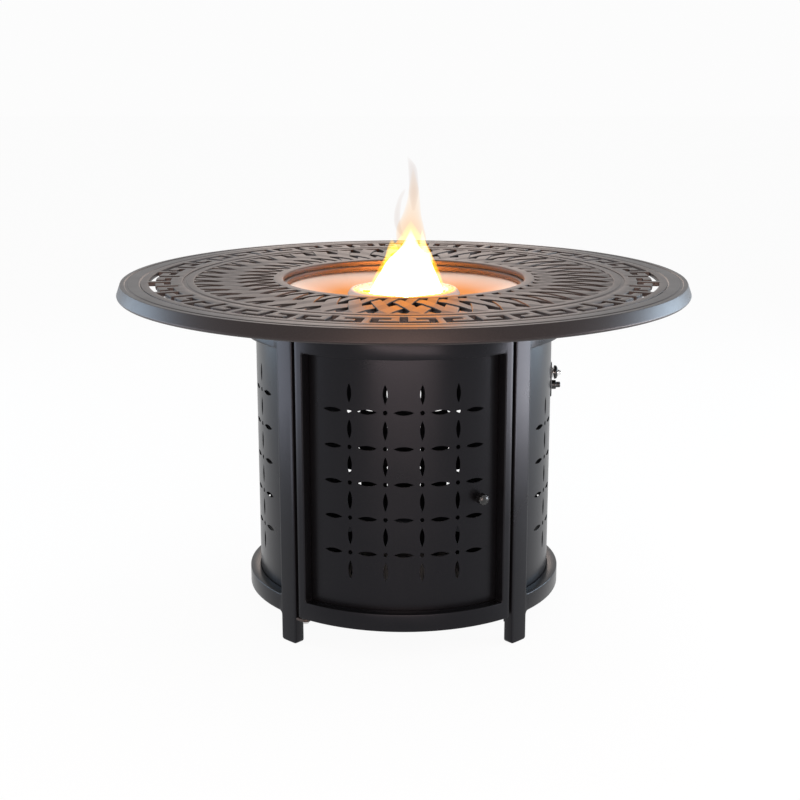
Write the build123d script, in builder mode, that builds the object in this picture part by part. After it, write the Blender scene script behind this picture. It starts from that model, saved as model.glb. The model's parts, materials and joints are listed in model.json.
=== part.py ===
from build123d import *
import math
import os

# Round gas fire table: a cast top on a drum of curved frames with perforated sheets,
# a hinged front door, a bowl with a ring burner, and a gas knob and an igniter on the right.
# Millimetres, +Z up, origin on the floor under the middle. The front faces -Y.
# An azimuth is counted in degrees from the front towards the right (+X).

# Sides that stand for a full circle, on small turned parts and on large hidden rings
turned_sides = 8
ring_sides = 24

# Clearances: pressed or clamped pieces, seated sheets, moving pieces and the door pins
fit = 0.15
seat_gap = 0.25
running_gap = 0.3
hinge_clearance = 0.3

# Table top
table_height = 646.0
table_radius = 533.5
skirt_height = 25.0
skirt_flare = 7.5
skirt_wall = 6.0
plate_thickness = 8.0
opening_setback = 73.6
lid_ledge = 7.0
collar_band = 10.0
collar_wall = 6.0

# Woven lattice of the top: two families of spiral strips leave rows of diamond holes
lattice_outer = 391.0
lattice_land = 20.0
lattice_count = 44
lattice_rows = 3
lattice_growth = 1.223
diamond_reach = 0.077

# Fret ring of the top: one cut-out per unit, drawn with a slot of even width
fret_outer = 474.0
fret_inner = 422.0
fret_hook_inner = 434.0
fret_slot = 12.6
fret_web = 12.8
fret_count = 24

# Drum frames
drum_radius = 299.6
frame_depth = 20.0
leg_azimuth = 45.0
leg_width = 40.0
rail_bottom = 54.0
rail_height = 33.0
window_drop = 98.0
window_corner = 5.0
door_gap = 7.0
stile_width = 17.0

# Perforated sheets
sheet = 1.5
sheet_lap = 8.0
strip_margin = 1.5
petal_length = 35.0
petal_width = 8.4
petal_pitch = 64.9
petal_cut = 4.5
pattern_rise = 3.5
pattern_border = 1
control_clear = 90.0

# Deck that carries the bowl and the table top
deck_thickness = 3.0
deck_clearance = 5.0
pad_reach = 40.0
pad_width = 20.0
pad_length = 38.0

# Bowl and burner
bowl_flange_width = 19.0
bowl_floor_margin = 14.0
bowl_depth = 32.0
burner_radius = 92.0
burner_half_width = 14.0
burner_half_height = 10.0
burner_crown = 7.0
burner_lift = 20.0
hub_radius = 18.0
hub_flange = 24.0
hub_flange_height = 3.0
hub_height = 27.0
feed_radius = 6.0
stub_radius = 10.0
stub_length = 22.0
locknut_radius = 17.0
locknut_height = 8.0

# Ignition parts on the bowl floor
ignition_azimuth = 150.0
ignition_radius = 50.0
ignition_spread = 16.0
electrode_radius = 3.5
electrode_height = 22.0
electrode_tail = 14.0
electrode_wire = 1.2
electrode_wire_length = 3.5
sensor_radius = 2.5
sensor_height = 27.0
bracket_width = 14.0
bracket_length = 34.0
bracket_sheet = 1.2

# Gas valve, knob and igniter, on one upright line at the right
control_azimuth = 90.0
control_drop = 184.0
control_pitch = 24.5
bezel_width = 34.0
bezel_height = 66.0
bezel_thickness = 2.5
bezel_corner = 5.0
push_travel = 5.0
push_reserve = 0.4
spindle_radius = 4.0
spindle_length = 55.5
neck_radius = 8.0
neck_reach = 3.5
valve_nut_radius = 11.0
valve_nut_height = 3.0
valve_width = 28.0
valve_height = 28.0
valve_length = 34.0
valve_setback = 13.3
cavity_radius = 7.2
cavity_length = 17.0
seat_ring_width = 2.0
inlet_radius = 7.9
inlet_length = 18.0
outlet_radius = 7.0
outlet_length = 6.0
outlet_inset = 11.3
knob_sides = 16
knob_radius = 13.0
knob_tip_radius = 9.5
knob_skirt = 6.0
knob_height = 14.0
knob_grip = 12.0
knob_recess = 4.25
knob_cap = 3.5
igniter_collar_radius = 8.8
igniter_collar_length = 9.4
igniter_body_radius = 7.0
igniter_body_length = 42.0
igniter_nut_radius = 11.0
igniter_nut_height = 6.0
button_radius = 5.5
button_proud = 8.5
button_dome = 2.0

# Gas pipe
pipe_radius = 5.0
pipe_bend = 18.0
pipe_drop = 22.0

# Heat shield
shield_clearance = 44.1
shield_drop = 116.0
shield_sheet = 1.2
hanger_radius = 3.0
hanger_head = 6.0
hanger_head_height = 4.0
hanger_inset = 4.5
hanger_count = 3

# Tank tray
tray_clearance = 17.6
tray_level = 60.0
tray_sheet = 2.0
tank_radius = 156.0
tank_seat_inset = 6.0
tank_seat_height = 1.5
tank_stop_height = 12.0
tank_stop_width = 40.0
tank_stop_count = 4
vent_radius = 18.0
vent_count = 4
tray_bracket_width = 34.0
tray_bracket_sheet = 2.4
tray_bracket_reach = 30.0
tray_bracket_drop = 22.0

# Door hinge
hinge_pin_radius = 3.5
hinge_pin_engage = 20.0
hinge_pin_head = 6.0
hinge_pin_head_height = 4.5
hinge_space = 2.0
lug_thickness = 5.0
lug_round = 9.0
washer_radius = 8.0

# Door knob and catch
door_knob_offset = 8.5
door_knob_drop = 32.0
door_knob_radius = 9.5
door_knob_length = 13.0
door_knob_neck = 4.5
door_knob_neck_length = 6.0
door_knob_flutes = 10
door_knob_flute = 1.2
door_knob_dome = 2.0
catch_rise = 29.0
catch_height = 40.0
catch_width = 20.0
magnet_depth = 12.0
catch_sheet = 1.8
strap_width = 11.0
strap_length = 40.0

# Places worked out from the sizes above
frame_inner = drum_radius - frame_depth
opening_radius = drum_radius - opening_setback
lattice_inner = opening_radius + lattice_land
pad_middle = opening_radius + pad_reach
deck_top = table_height - 2 * collar_band - sheet
deck_bottom = deck_top - deck_thickness
plate_bottom = table_height - plate_thickness
rim_top = table_radius - skirt_flare
plate_radius = rim_top - skirt_wall
collar_inner = opening_radius - lid_ledge
deck_inner = collar_inner + deck_clearance
bowl_flange = collar_inner + bowl_flange_width
bowl_floor_radius = burner_radius + burner_half_width + bowl_floor_margin
shield_radius = frame_inner - shield_clearance
hanger_circle = shield_radius - hanger_inset
tray_radius = frame_inner - tray_clearance
vent_circle = (tank_radius + tray_radius) / 2
sheet_outer = frame_inner - seat_gap
sheet_inner = sheet_outer - sheet
window_bottom = rail_bottom + rail_height
window_top = table_height - window_drop
pattern_middle = (window_bottom + window_top) / 2 + pattern_rise
pattern_rows = int((window_top - window_bottom) / petal_pitch) - 2 * pattern_border
door_knob_level = pattern_middle - door_knob_drop
catch_level = pattern_middle + catch_rise
knob_level = table_height - control_drop
igniter_level = knob_level - control_pitch
shield_level = table_height - shield_drop
rail_top = window_top + rail_height
bowl_floor = table_height - 2 * collar_band - bowl_depth
bowl_under = bowl_floor - sheet
burner_level = bowl_floor + burner_lift
stub_bottom = bowl_floor - stub_length
pipe_level = stub_bottom - pipe_drop


def span(length, radius):
    """Angle in degrees that an arc of this length takes at a radius."""
    return math.degrees(length / radius)


def point_at(azimuth, radius):
    """Plan point at an azimuth and a radius."""
    turn = math.radians(azimuth)
    return (radius * math.sin(turn), -radius * math.cos(turn))


def polar_point(radius, angle):
    """Plan point at an angle, in radians, from +X."""
    return (radius * math.cos(angle), radius * math.sin(angle))


def face_plane(azimuth, radius):
    """Upright plane that faces outward; its X runs to the right and its Y runs up."""
    turn = math.radians(azimuth)
    outward = (math.sin(turn), -math.cos(turn), 0)
    rightward = (math.cos(turn), math.sin(turn), 0)
    return Plane(origin=point_at(azimuth, radius) + (0,), x_dir=rightward, z_dir=outward)


def arc_band(inner, outer, start, end):
    """Sketch face between two radii and two azimuths."""
    with BuildLine() as outline:
        CenterArc((0, 0), inner, start - 90, end - start)
        CenterArc((0, 0), outer, start - 90, end - start)
        Line(point_at(start, inner), point_at(start, outer))
        Line(point_at(end, inner), point_at(end, outer))
    make_face(outline.edges())


def sector(inner, outer, start, end, bottom, top, mode=Mode.ADD):
    """Curved block between two radii, two azimuths and two levels."""
    with BuildSketch(Plane.XY.offset(bottom)) as plan:
        arc_band(inner, outer, start, end)
    extrude(plan.sketch, amount=top - bottom, mode=mode)


def round_outline(radius, mode):
    """Sketch outline with flat sides: inside its radius on a rod, outside it on a hole."""
    RegularPolygon(radius, side_count=turned_sides, major_radius=mode == Mode.ADD)


def disc(radius, bottom, top, mode=Mode.ADD, place=(0, 0)):
    """Upright rod or hole between two levels."""
    with BuildSketch(Plane.XY.offset(bottom)) as plan:
        with Locations(place):
            round_outline(radius, mode)
    extrude(plan.sketch, amount=top - bottom, mode=mode)


def round_rod(radius, bottom, top, place, mode=Mode.ADD):
    """Upright rod or hole with a true round wall, where a piece turns."""
    with BuildSketch(Plane.XY.offset(bottom)) as plan:
        with Locations(place):
            Circle(radius)
    extrude(plan.sketch, amount=top - bottom, mode=mode)


def mitred(points):
    """One straight length of a ring, mitred at both ends, from (radius, level) points."""
    slope = math.tan(math.pi / ring_sides)
    reach = 2 * max(radius for radius, level in points)
    bar = extrude(Plane.XZ * Polygon(*points, align=None), amount=reach, both=True)
    corners = [(0, 0), (reach, -reach * slope), (reach, reach * slope)]
    return bar & extrude(Polygon(*corners, align=None), amount=table_height)


def spun(points):
    """Ring turned about the upright axis from a profile of (radius, level) points."""
    with BuildSketch(Plane.XZ) as profile:
        Polygon(*points, align=None)
    revolve(profile.sketch, axis=Axis.Z)


def plate(azimuth, face, width, thickness, low, high):
    """Flat upright plate, set inward from a distance from the middle."""
    with BuildSketch(face_plane(azimuth, face)) as outline:
        with Locations((0, (low + high) / 2)):
            Rectangle(width, high - low)
    extrude(outline.sketch, amount=-thickness)


def side_rod(radius, level, inner, outer, mode=Mode.ADD):
    """Rod or hole along the control axis, at a level, between two distances from the middle."""
    with BuildSketch(face_plane(control_azimuth, inner)) as outline:
        with Locations((0, level)):
            round_outline(radius, mode)
    extrude(outline.sketch, amount=outer - inner, mode=mode)


def side_hex(radius, level, inner, outer):
    """Hexagonal bar along the control axis."""
    with BuildSketch(face_plane(control_azimuth, inner)) as outline:
        with Locations((0, level)):
            RegularPolygon(radius, side_count=6)
    extrude(outline.sketch, amount=outer - inner)


def radial_edges(piece, low, high):
    """Straight level edges of a frame that lie between two levels."""
    level = piece.edges().filter_by(GeomType.LINE).filter_by(Axis.Z, reverse=True)
    return level.filter_by_position(Axis.Z, low, high)


os.makedirs("parts", exist_ok=True)

# Azimuths of the frames, worked out on the outer face of the drum
leg_half = span(leg_width / 2, drum_radius)
opening_half = leg_azimuth - leg_half
door_half = opening_half - span(door_gap, drum_radius)
window_half = door_half - span(stile_width, drum_radius)
hinge_azimuth = -(door_half - span(stile_width / 2, drum_radius))
hinge_radius = drum_radius - frame_depth / 2
hinge_point = point_at(hinge_azimuth, hinge_radius)

# One unit of the fret: an outer bar, two sides with inward hooks, and a middle stem
fret_middle = (fret_inner + fret_outer) / 2
fret_side = 180 / fret_count - span(fret_web / 2, fret_middle)
fret_stem = span(fret_slot / 2, fret_middle)
fret_hook = fret_stem + span(fret_web, fret_middle)
fret_half = [
    (fret_inner, 0),
    (fret_inner, fret_stem),
    (fret_outer - fret_slot, fret_stem),
    (fret_outer - fret_slot, fret_side - 2 * fret_stem),
    (fret_hook_inner + fret_slot, fret_side - 2 * fret_stem),
    (fret_hook_inner + fret_slot, fret_hook),
    (fret_hook_inner, fret_hook),
    (fret_hook_inner, fret_side),
    (fret_outer, fret_side),
    (fret_outer, 0),
]
fret_points = []
for radius, azimuth in fret_half[1:]:
    fret_points.append(point_at(azimuth, radius))
for radius, azimuth in fret_half[-2:0:-1]:
    fret_points.append(point_at(-azimuth, radius))

# Table top: plate with both rings of cut-outs, skirt, stepped collar and four pads
lattice_half_pitch = 180 / lattice_count
diamond_half = math.radians(lattice_half_pitch) * diamond_reach / math.log(lattice_growth)

with BuildPart() as table_top:
    with BuildSketch(Plane.XY.offset(plate_bottom)):
        Circle(plate_radius)
        for row in range(lattice_rows):
            middle = lattice_outer / math.exp(diamond_reach) / lattice_growth**row
            diamond = [
                (middle / math.exp(diamond_reach), 0),
                polar_point(middle, diamond_half),
                (middle * math.exp(diamond_reach), 0),
                polar_point(middle, -diamond_half),
            ]
            first = row * lattice_half_pitch - 90
            with PolarLocations(0, lattice_count, start_angle=first):
                Polygon(*diamond, align=None, mode=Mode.SUBTRACT)
        turn = lattice_half_pitch * (lattice_rows - 2) - 90
        RegularPolygon(lattice_inner, side_count=lattice_count, major_radius=False, rotation=turn)
        Circle(opening_radius, mode=Mode.SUBTRACT)
        with PolarLocations(0, fret_count):
            Polygon(*fret_points, align=None, mode=Mode.SUBTRACT)
    extrude(amount=plate_thickness)
    spun(
        [
            (plate_radius, table_height),
            (rim_top, table_height),
            (table_radius, table_height - skirt_height),
            (plate_radius, table_height - skirt_height),
        ]
    )
    spun(
        [
            (opening_radius, plate_bottom),
            (opening_radius, table_height - collar_band),
            (collar_inner, table_height - collar_band),
            (collar_inner, table_height - 2 * collar_band),
            (opening_radius + collar_wall, table_height - 2 * collar_band),
            (opening_radius + collar_wall, plate_bottom),
        ]
    )
    for corner in range(4):
        turn = leg_azimuth + 90 * corner
        plate(turn, pad_middle + pad_width / 2, pad_length, pad_width, deck_top, plate_bottom)
table_top.part.label = "table_top"
export_step(table_top.part, "parts/table_top.step")

# Deck ring on the leg tops, with holes for the shield hangers
hanger_places = []
for hanger in range(hanger_count):
    hanger_places.append(point_at(hanger * 360 / hanger_count, hanger_circle))

with BuildPart() as deck_ring:
    with BuildSketch(Plane.XY.offset(deck_bottom)):
        RegularPolygon(drum_radius, side_count=ring_sides)
        RegularPolygon(deck_inner, side_count=ring_sides, mode=Mode.SUBTRACT)
        with Locations(*hanger_places):
            RegularPolygon(hanger_radius + fit, side_count=6, mode=Mode.SUBTRACT)
    extrude(amount=deck_thickness)
deck_ring.part.label = "deck_ring"
export_step(deck_ring.part, "parts/deck_ring.step")

# Side frames: two legs each, joined by a bottom rail and a top rail
for side, middle in (("left", -90), ("right", 90)):
    with BuildPart() as side_frame:
        outer_half = leg_azimuth + leg_half
        sector(frame_inner, drum_radius, middle - outer_half, middle + outer_half, 0, deck_bottom)
        for low, high in ((0, rail_bottom), (window_bottom, window_top), (rail_top, deck_bottom)):
            sector(
                frame_inner,
                drum_radius,
                middle - opening_half,
                middle + opening_half,
                low,
                high,
                mode=Mode.SUBTRACT,
            )
        chamfer(radial_edges(side_frame, window_bottom, window_top), window_corner)
    side_frame.part.label = f"side_frame_{side}"
    export_step(side_frame.part, f"parts/side_frame_{side}.step")

# Rear frame
with BuildPart() as rear_frame:
    sector(frame_inner, drum_radius, 180 - door_half, 180 + door_half, rail_bottom, rail_top)
    sector(
        frame_inner,
        drum_radius,
        180 - window_half,
        180 + window_half,
        window_bottom,
        window_top,
        mode=Mode.SUBTRACT,
    )
    chamfer(radial_edges(rear_frame, window_bottom, window_top), window_corner)
rear_frame.part.label = "rear_frame"
export_step(rear_frame.part, "parts/rear_frame.step")

# Door frame, with pin holes at the top and bottom of its left stile
with BuildPart() as door_frame:
    sector(frame_inner, drum_radius, -door_half, door_half, rail_bottom, rail_top)
    sector(
        frame_inner,
        drum_radius,
        -window_half,
        window_half,
        window_bottom,
        window_top,
        mode=Mode.SUBTRACT,
    )
    chamfer(radial_edges(door_frame, window_bottom, window_top), window_corner)
    pin_hole = hinge_pin_radius + hinge_clearance
    pin_depth = hinge_pin_engage + hinge_space
    round_rod(pin_hole, rail_bottom, rail_bottom + pin_depth, hinge_point, Mode.SUBTRACT)
    round_rod(pin_hole, rail_top - pin_depth, rail_top, hinge_point, Mode.SUBTRACT)
door_frame.part.label = "door_frame"
export_step(door_frame.part, "parts/door_frame.step")

# Perforated sheets, bent into flat strips so that each column of the pattern lies flat:
# rows of lying petals with columns of standing petals between them, one lying column in the middle
petal_turn = span(petal_pitch, sheet_outer)
pattern_columns = 2 * int((window_half - petal_turn / 2) / petal_turn) + 1
strip_half = span(petal_length / 2 + strip_margin, sheet_outer)
strip_outer = sheet_outer * math.cos(math.radians(strip_half))
strip_inner = sheet_inner * math.cos(math.radians(strip_half))
row_levels = []
for row in range(pattern_rows):
    row_levels.append(pattern_middle + petal_pitch * (row - (pattern_rows - 1) / 2))
column_levels = []
for row in range(pattern_rows + 1):
    column_levels.append(pattern_middle + petal_pitch * (row - pattern_rows / 2))


def bent_sheet(middle, half):
    """Upright sheet behind the frames, between two azimuths about its middle."""
    bends = []
    for column in range(pattern_columns + 2):
        place = column - (pattern_columns + 1) / 2
        bends.append(place * petal_turn - strip_half)
        bends.append(place * petal_turn + strip_half)
    bends = [bend for bend in bends if abs(bend) < half]
    bends = [-half] + bends + [half]
    outer = [point_at(middle + bend, sheet_outer) for bend in bends]
    inner = [point_at(middle + bend, sheet_inner) for bend in reversed(bends)]
    with BuildSketch(Plane.XY.offset(sheet_bottom)) as plan:
        Polygon(*outer, *inner, align=None)
    extrude(plan.sketch, amount=sheet_top - sheet_bottom)


def petal(length, width):
    """Points of a petal with two tips."""
    return [
        (length / 2, 0),
        (0, width / 2),
        (-length / 2, 0),
        (0, -width / 2),
    ]


def petal_pattern(middle, top):
    """Cut the pattern through a sheet, up to a level."""
    lying_planes = []
    for column in range(pattern_columns):
        place = column - (pattern_columns - 1) / 2
        lying_planes.append(face_plane(middle + place * petal_turn, strip_inner))
    standing_planes = []
    for column in range(pattern_columns - 1):
        place = column - (pattern_columns - 2) / 2
        standing_planes.append(face_plane(middle + place * petal_turn, strip_inner))
    lying = [(0, level) for level in row_levels if level < top]
    standing = [(0, level) for level in column_levels if level < top]
    with BuildSketch(*lying_planes) as lying_petals:
        with Locations(*lying):
            Polygon(*petal(petal_length, petal_width), align=None)
    extrude(lying_petals.sketch, amount=petal_cut, both=True, mode=Mode.SUBTRACT)
    with BuildSketch(*standing_planes) as standing_petals:
        with Locations(*standing):
            Polygon(*petal(petal_length, petal_width), rotation=90, align=None)
    extrude(standing_petals.sketch, amount=petal_cut, both=True, mode=Mode.SUBTRACT)


sheet_bottom = window_bottom - sheet_lap
sheet_top = window_top + sheet_lap
wide_half = opening_half + span(sheet_lap, sheet_outer)
narrow_half = window_half + span(sheet_lap, sheet_outer)

with BuildPart() as panel_left:
    bent_sheet(-90, wide_half)
    petal_pattern(-90, sheet_top)
panel_left.part.label = "panel_left"
export_step(panel_left.part, "parts/panel_left.step")

with BuildPart() as panel_right:
    bent_sheet(control_azimuth, wide_half)
    petal_pattern(control_azimuth, (knob_level + igniter_level) / 2 - control_clear / 2)
    side_rod(neck_radius + running_gap, knob_level, sheet_inner - sheet, drum_radius, Mode.SUBTRACT)
    hole = igniter_body_radius + running_gap
    side_rod(hole, igniter_level, sheet_inner - sheet, drum_radius, Mode.SUBTRACT)
panel_right.part.label = "panel_right"
export_step(panel_right.part, "parts/panel_right.step")

with BuildPart() as panel_rear:
    bent_sheet(180, narrow_half)
    petal_pattern(180, sheet_top)
panel_rear.part.label = "panel_rear"
export_step(panel_rear.part, "parts/panel_rear.step")

door_knob_turn = petal_turn * (pattern_columns - 1) / 2
door_knob_place = (door_knob_offset, door_knob_level)
with BuildPart() as door_panel:
    bent_sheet(0, narrow_half)
    petal_pattern(0, sheet_top)
door_panel.part.label = "door_panel"
export_step(door_panel.part, "parts/door_panel.step")

# Straps that tie the rear frame to the rear legs, above and below its sheet
strap_middle = 180 - (door_half + opening_half) / 2
strap_face = math.sqrt(frame_inner**2 - (strap_length / 2) ** 2) - seat_gap
with BuildPart() as rear_straps:
    for middle in (strap_middle, 360 - strap_middle):
        for level in ((rail_bottom + sheet_bottom) / 2, (rail_top + sheet_top) / 2):
            low = level - strap_width / 2
            plate(middle, strap_face, strap_length, sheet, low, low + strap_width)
rear_straps.part.label = "rear_straps"
export_step(rear_straps.part, "parts/rear_straps.step")

# Stainless bowl that hangs by its flange in the deck ring
bowl_rim = table_height - 2 * collar_band
ignition_half = span(ignition_spread / 2, ignition_radius)
electrode_point = point_at(ignition_azimuth - ignition_half, ignition_radius)
sensor_point = point_at(ignition_azimuth + ignition_half, ignition_radius)
bowl_side = mitred(
    [
        (bowl_flange, bowl_rim),
        (collar_inner, bowl_rim),
        (bowl_floor_radius, bowl_floor),
        (0, bowl_floor),
        (0, bowl_under),
        (bowl_floor_radius, bowl_under),
        (collar_inner, deck_top),
        (bowl_flange, deck_top),
    ]
)
with BuildPart() as burner_pan:
    with PolarLocations(0, ring_sides):
        add(bowl_side)
    disc(stub_radius + fit, bowl_under, bowl_floor, Mode.SUBTRACT)
    disc(electrode_radius + fit, bowl_under, bowl_floor, Mode.SUBTRACT, electrode_point)
    disc(sensor_radius + fit, bowl_under, bowl_floor, Mode.SUBTRACT, sensor_point)
burner_pan.part.label = "burner_pan"
export_step(burner_pan.part, "parts/burner_pan.step")

# Ring burner, pressed from two halves that meet at its widest level
burner_low = burner_level - burner_half_height
burner_high = burner_level + burner_half_height
burner_inner = burner_radius - burner_half_width
burner_side = mitred(
    [
        (burner_radius + burner_half_width, burner_level),
        (burner_radius + burner_crown, burner_high),
        (burner_radius - burner_crown, burner_high),
        (burner_inner, burner_level),
        (burner_radius - burner_crown, burner_low),
        (burner_radius + burner_crown, burner_low),
    ]
)
with BuildPart() as burner_ring:
    with PolarLocations(0, ring_sides):
        add(burner_side)
burner_ring.part.label = "burner_ring"
export_step(burner_ring.part, "parts/burner_ring.step")

# Burner feed: a hub on the bowl floor, two tubes to the ring and a threaded stub below
with BuildPart() as burner_feed:
    disc(stub_radius, stub_bottom, bowl_floor)
    disc(hub_flange, bowl_floor, bowl_floor + hub_flange_height)
    disc(hub_radius, bowl_floor, bowl_floor + hub_height)
    with BuildSketch(Plane.YZ):
        with Locations((0, burner_level)):
            round_outline(feed_radius, Mode.ADD)
    extrude(amount=burner_inner - running_gap, both=True)
burner_feed.part.label = "burner_feed"
export_step(burner_feed.part, "parts/burner_feed.step")

# Lock nut that clamps the burner feed to the bowl
with BuildPart() as burner_locknut:
    with BuildSketch(Plane.XY.offset(bowl_under - locknut_height)):
        RegularPolygon(locknut_radius, side_count=6)
    extrude(amount=locknut_height)
    disc(stub_radius + fit, bowl_under - locknut_height, bowl_under, Mode.SUBTRACT)
burner_locknut.part.label = "burner_locknut"
export_step(burner_locknut.part, "parts/burner_locknut.step")

# Spark electrode, flame sensor and the plate that holds them on the bowl floor
ignition_plane = Plane(
    origin=point_at(ignition_azimuth, ignition_radius) + (bowl_floor,),
    x_dir=(math.cos(math.radians(ignition_azimuth)), math.sin(math.radians(ignition_azimuth)), 0),
    z_dir=(0, 0, 1),
)
with BuildPart() as electrode_bracket:
    with BuildSketch(ignition_plane):
        Rectangle(bracket_length, bracket_width)
    extrude(amount=bracket_sheet)
    plate_top = bowl_floor + bracket_sheet
    disc(electrode_radius + fit, bowl_floor, plate_top, Mode.SUBTRACT, electrode_point)
    disc(sensor_radius + fit, bowl_floor, plate_top, Mode.SUBTRACT, sensor_point)
electrode_bracket.part.label = "electrode_bracket"
export_step(electrode_bracket.part, "parts/electrode_bracket.step")

with BuildPart() as spark_electrode:
    rod_low = bowl_under - electrode_tail
    disc(electrode_radius, rod_low, bowl_floor + electrode_height, place=electrode_point)
    wire_top = bowl_floor + electrode_height + electrode_wire_length
    disc(electrode_wire, bowl_floor, wire_top, place=electrode_point)
spark_electrode.part.label = "spark_electrode"
export_step(spark_electrode.part, "parts/spark_electrode.step")

with BuildPart() as thermocouple:
    disc(sensor_radius, bowl_under - electrode_tail, bowl_floor + sensor_height, place=sensor_point)
thermocouple.part.label = "thermocouple"
export_step(thermocouple.part, "parts/thermocouple.step")

# Heat shield over the tank space, on studs that hang from the deck
with BuildPart() as heat_shield:
    with BuildSketch(Plane.XY.offset(shield_level)):
        RegularPolygon(shield_radius, side_count=ring_sides)
        with Locations(*hanger_places):
            RegularPolygon(hanger_radius + fit, side_count=6, mode=Mode.SUBTRACT)
    extrude(amount=shield_sheet)
heat_shield.part.label = "heat_shield"
export_step(heat_shield.part, "parts/heat_shield.step")

with BuildPart() as shield_hangers:
    with BuildSketch(Plane.XY.offset(shield_level - hanger_head_height)):
        with Locations(*hanger_places):
            RegularPolygon(hanger_head, side_count=6)
    extrude(amount=hanger_head_height)
    with BuildSketch(Plane.XY.offset(shield_level)):
        with Locations(*hanger_places):
            RegularPolygon(hanger_radius, side_count=6)
    extrude(amount=deck_top - shield_level)
shield_hangers.part.label = "shield_hangers"
export_step(shield_hangers.part, "parts/shield_hangers.step")

# Tank tray with a raised seat and vent holes, the stops around the tank foot, and four brackets
with BuildPart() as base_plate:
    with BuildSketch(Plane.XY.offset(tray_level)):
        RegularPolygon(tray_radius, side_count=ring_sides)
        with PolarLocations(vent_circle, vent_count):
            RegularPolygon(vent_radius, side_count=6, mode=Mode.SUBTRACT)
    extrude(amount=tray_sheet)
    with BuildSketch(Plane.XY.offset(tray_level + tray_sheet)):
        RegularPolygon(tank_radius - tank_seat_inset, side_count=ring_sides)
    extrude(amount=tank_seat_height)
base_plate.part.label = "base_plate"
export_step(base_plate.part, "parts/base_plate.step")

with BuildPart() as tank_stops:
    with BuildSketch(Plane.XY.offset(tray_level + tray_sheet)):
        with PolarLocations(tank_radius + tray_sheet / 2, tank_stop_count, start_angle=leg_azimuth):
            Rectangle(tray_sheet, tank_stop_width)
    extrude(amount=tank_stop_height)
tank_stops.part.label = "tank_stops"
export_step(tank_stops.part, "parts/tank_stops.step")

bracket_face = math.sqrt(frame_inner**2 - (tray_bracket_width / 2) ** 2) - seat_gap
bracket_top = tray_level - seat_gap
bracket_low = bracket_top - tray_bracket_drop
bracket_shelf = bracket_top - tray_bracket_sheet
with BuildPart() as tray_brackets:
    for corner in range(4):
        turn = leg_azimuth + 90 * corner
        width = tray_bracket_width
        plate(turn, bracket_face, width, tray_bracket_sheet, bracket_low, bracket_top)
        plate(turn, bracket_face, width, tray_bracket_reach, bracket_shelf, bracket_top)
tray_brackets.part.label = "tray_brackets"
export_step(tray_brackets.part, "parts/tray_brackets.step")

# Control bezel on the right sheet
bezel_back = strip_outer + seat_gap
bezel_front = bezel_back + bezel_thickness
with BuildPart() as control_bezel:
    with BuildSketch(face_plane(control_azimuth, bezel_back)):
        with Locations((0, (knob_level + igniter_level) / 2)):
            bezel = Rectangle(bezel_width, bezel_height)
            chamfer(bezel.vertices(), bezel_corner)
    extrude(amount=bezel_thickness)
    side_rod(neck_radius + fit, knob_level, bezel_back, bezel_front, Mode.SUBTRACT)
    side_rod(igniter_body_radius + fit, igniter_level, bezel_back, bezel_front, Mode.SUBTRACT)
control_bezel.part.label = "control_bezel"
export_step(control_bezel.part, "parts/control_bezel.step")

# Gas valve: block, neck through the sheet, gas inlet behind and outlet on top
knob_back = bezel_front + push_travel + push_reserve
spindle_front = knob_back + knob_height - knob_cap
spindle_rear = spindle_front - spindle_length
neck_front = bezel_front + neck_reach
valve_front = bezel_back - valve_setback
valve_rear = valve_front - valve_length
cavity_front = valve_front - sheet
outlet_middle = valve_rear + outlet_inset
with BuildPart() as gas_valve:
    with BuildSketch(face_plane(control_azimuth, valve_rear)):
        with Locations((0, knob_level)):
            Rectangle(valve_width, valve_height)
    extrude(amount=valve_length)
    side_rod(neck_radius, knob_level, valve_front, neck_front)
    with BuildSketch(face_plane(control_azimuth, valve_rear)):
        with Locations((0, knob_level)):
            round_outline(inlet_radius, Mode.ADD)
    extrude(amount=-inlet_length)
    outlet_base = knob_level + valve_height / 2
    outlet_top = outlet_base + outlet_length
    disc(outlet_radius, outlet_base, outlet_top, place=point_at(control_azimuth, outlet_middle))
    bore_rear = spindle_rear - push_travel - push_reserve
    side_rod(spindle_radius + running_gap, knob_level, bore_rear, neck_front, Mode.SUBTRACT)
    side_rod(cavity_radius, knob_level, cavity_front - cavity_length, cavity_front, Mode.SUBTRACT)
gas_valve.part.label = "gas_valve"
export_step(gas_valve.part, "parts/gas_valve.step")

with BuildPart() as valve_nut:
    side_hex(valve_nut_radius, knob_level, bezel_front, bezel_front + valve_nut_height)
    side_rod(neck_radius + fit, knob_level, bezel_front, neck_front, Mode.SUBTRACT)
valve_nut.part.label = "valve_nut"
export_step(valve_nut.part, "parts/valve_nut.step")

# Spindle, the ring that its return spring presses on, and the knob
with BuildPart() as valve_spindle:
    with BuildSketch(face_plane(control_azimuth, spindle_rear)):
        with Locations((0, knob_level)):
            Circle(spindle_radius)
    extrude(amount=spindle_length)
valve_spindle.part.label = "valve_spindle"
export_step(valve_spindle.part, "parts/valve_spindle.step")

seat_front = cavity_front - running_gap
with BuildPart() as spring_seat:
    side_rod(cavity_radius - running_gap, knob_level, seat_front - seat_ring_width, seat_front)
    bore = spindle_radius + running_gap
    side_rod(bore, knob_level, seat_front - seat_ring_width, seat_front, Mode.SUBTRACT)
spring_seat.part.label = "spring_seat"
export_step(spring_seat.part, "parts/spring_seat.step")

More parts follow.
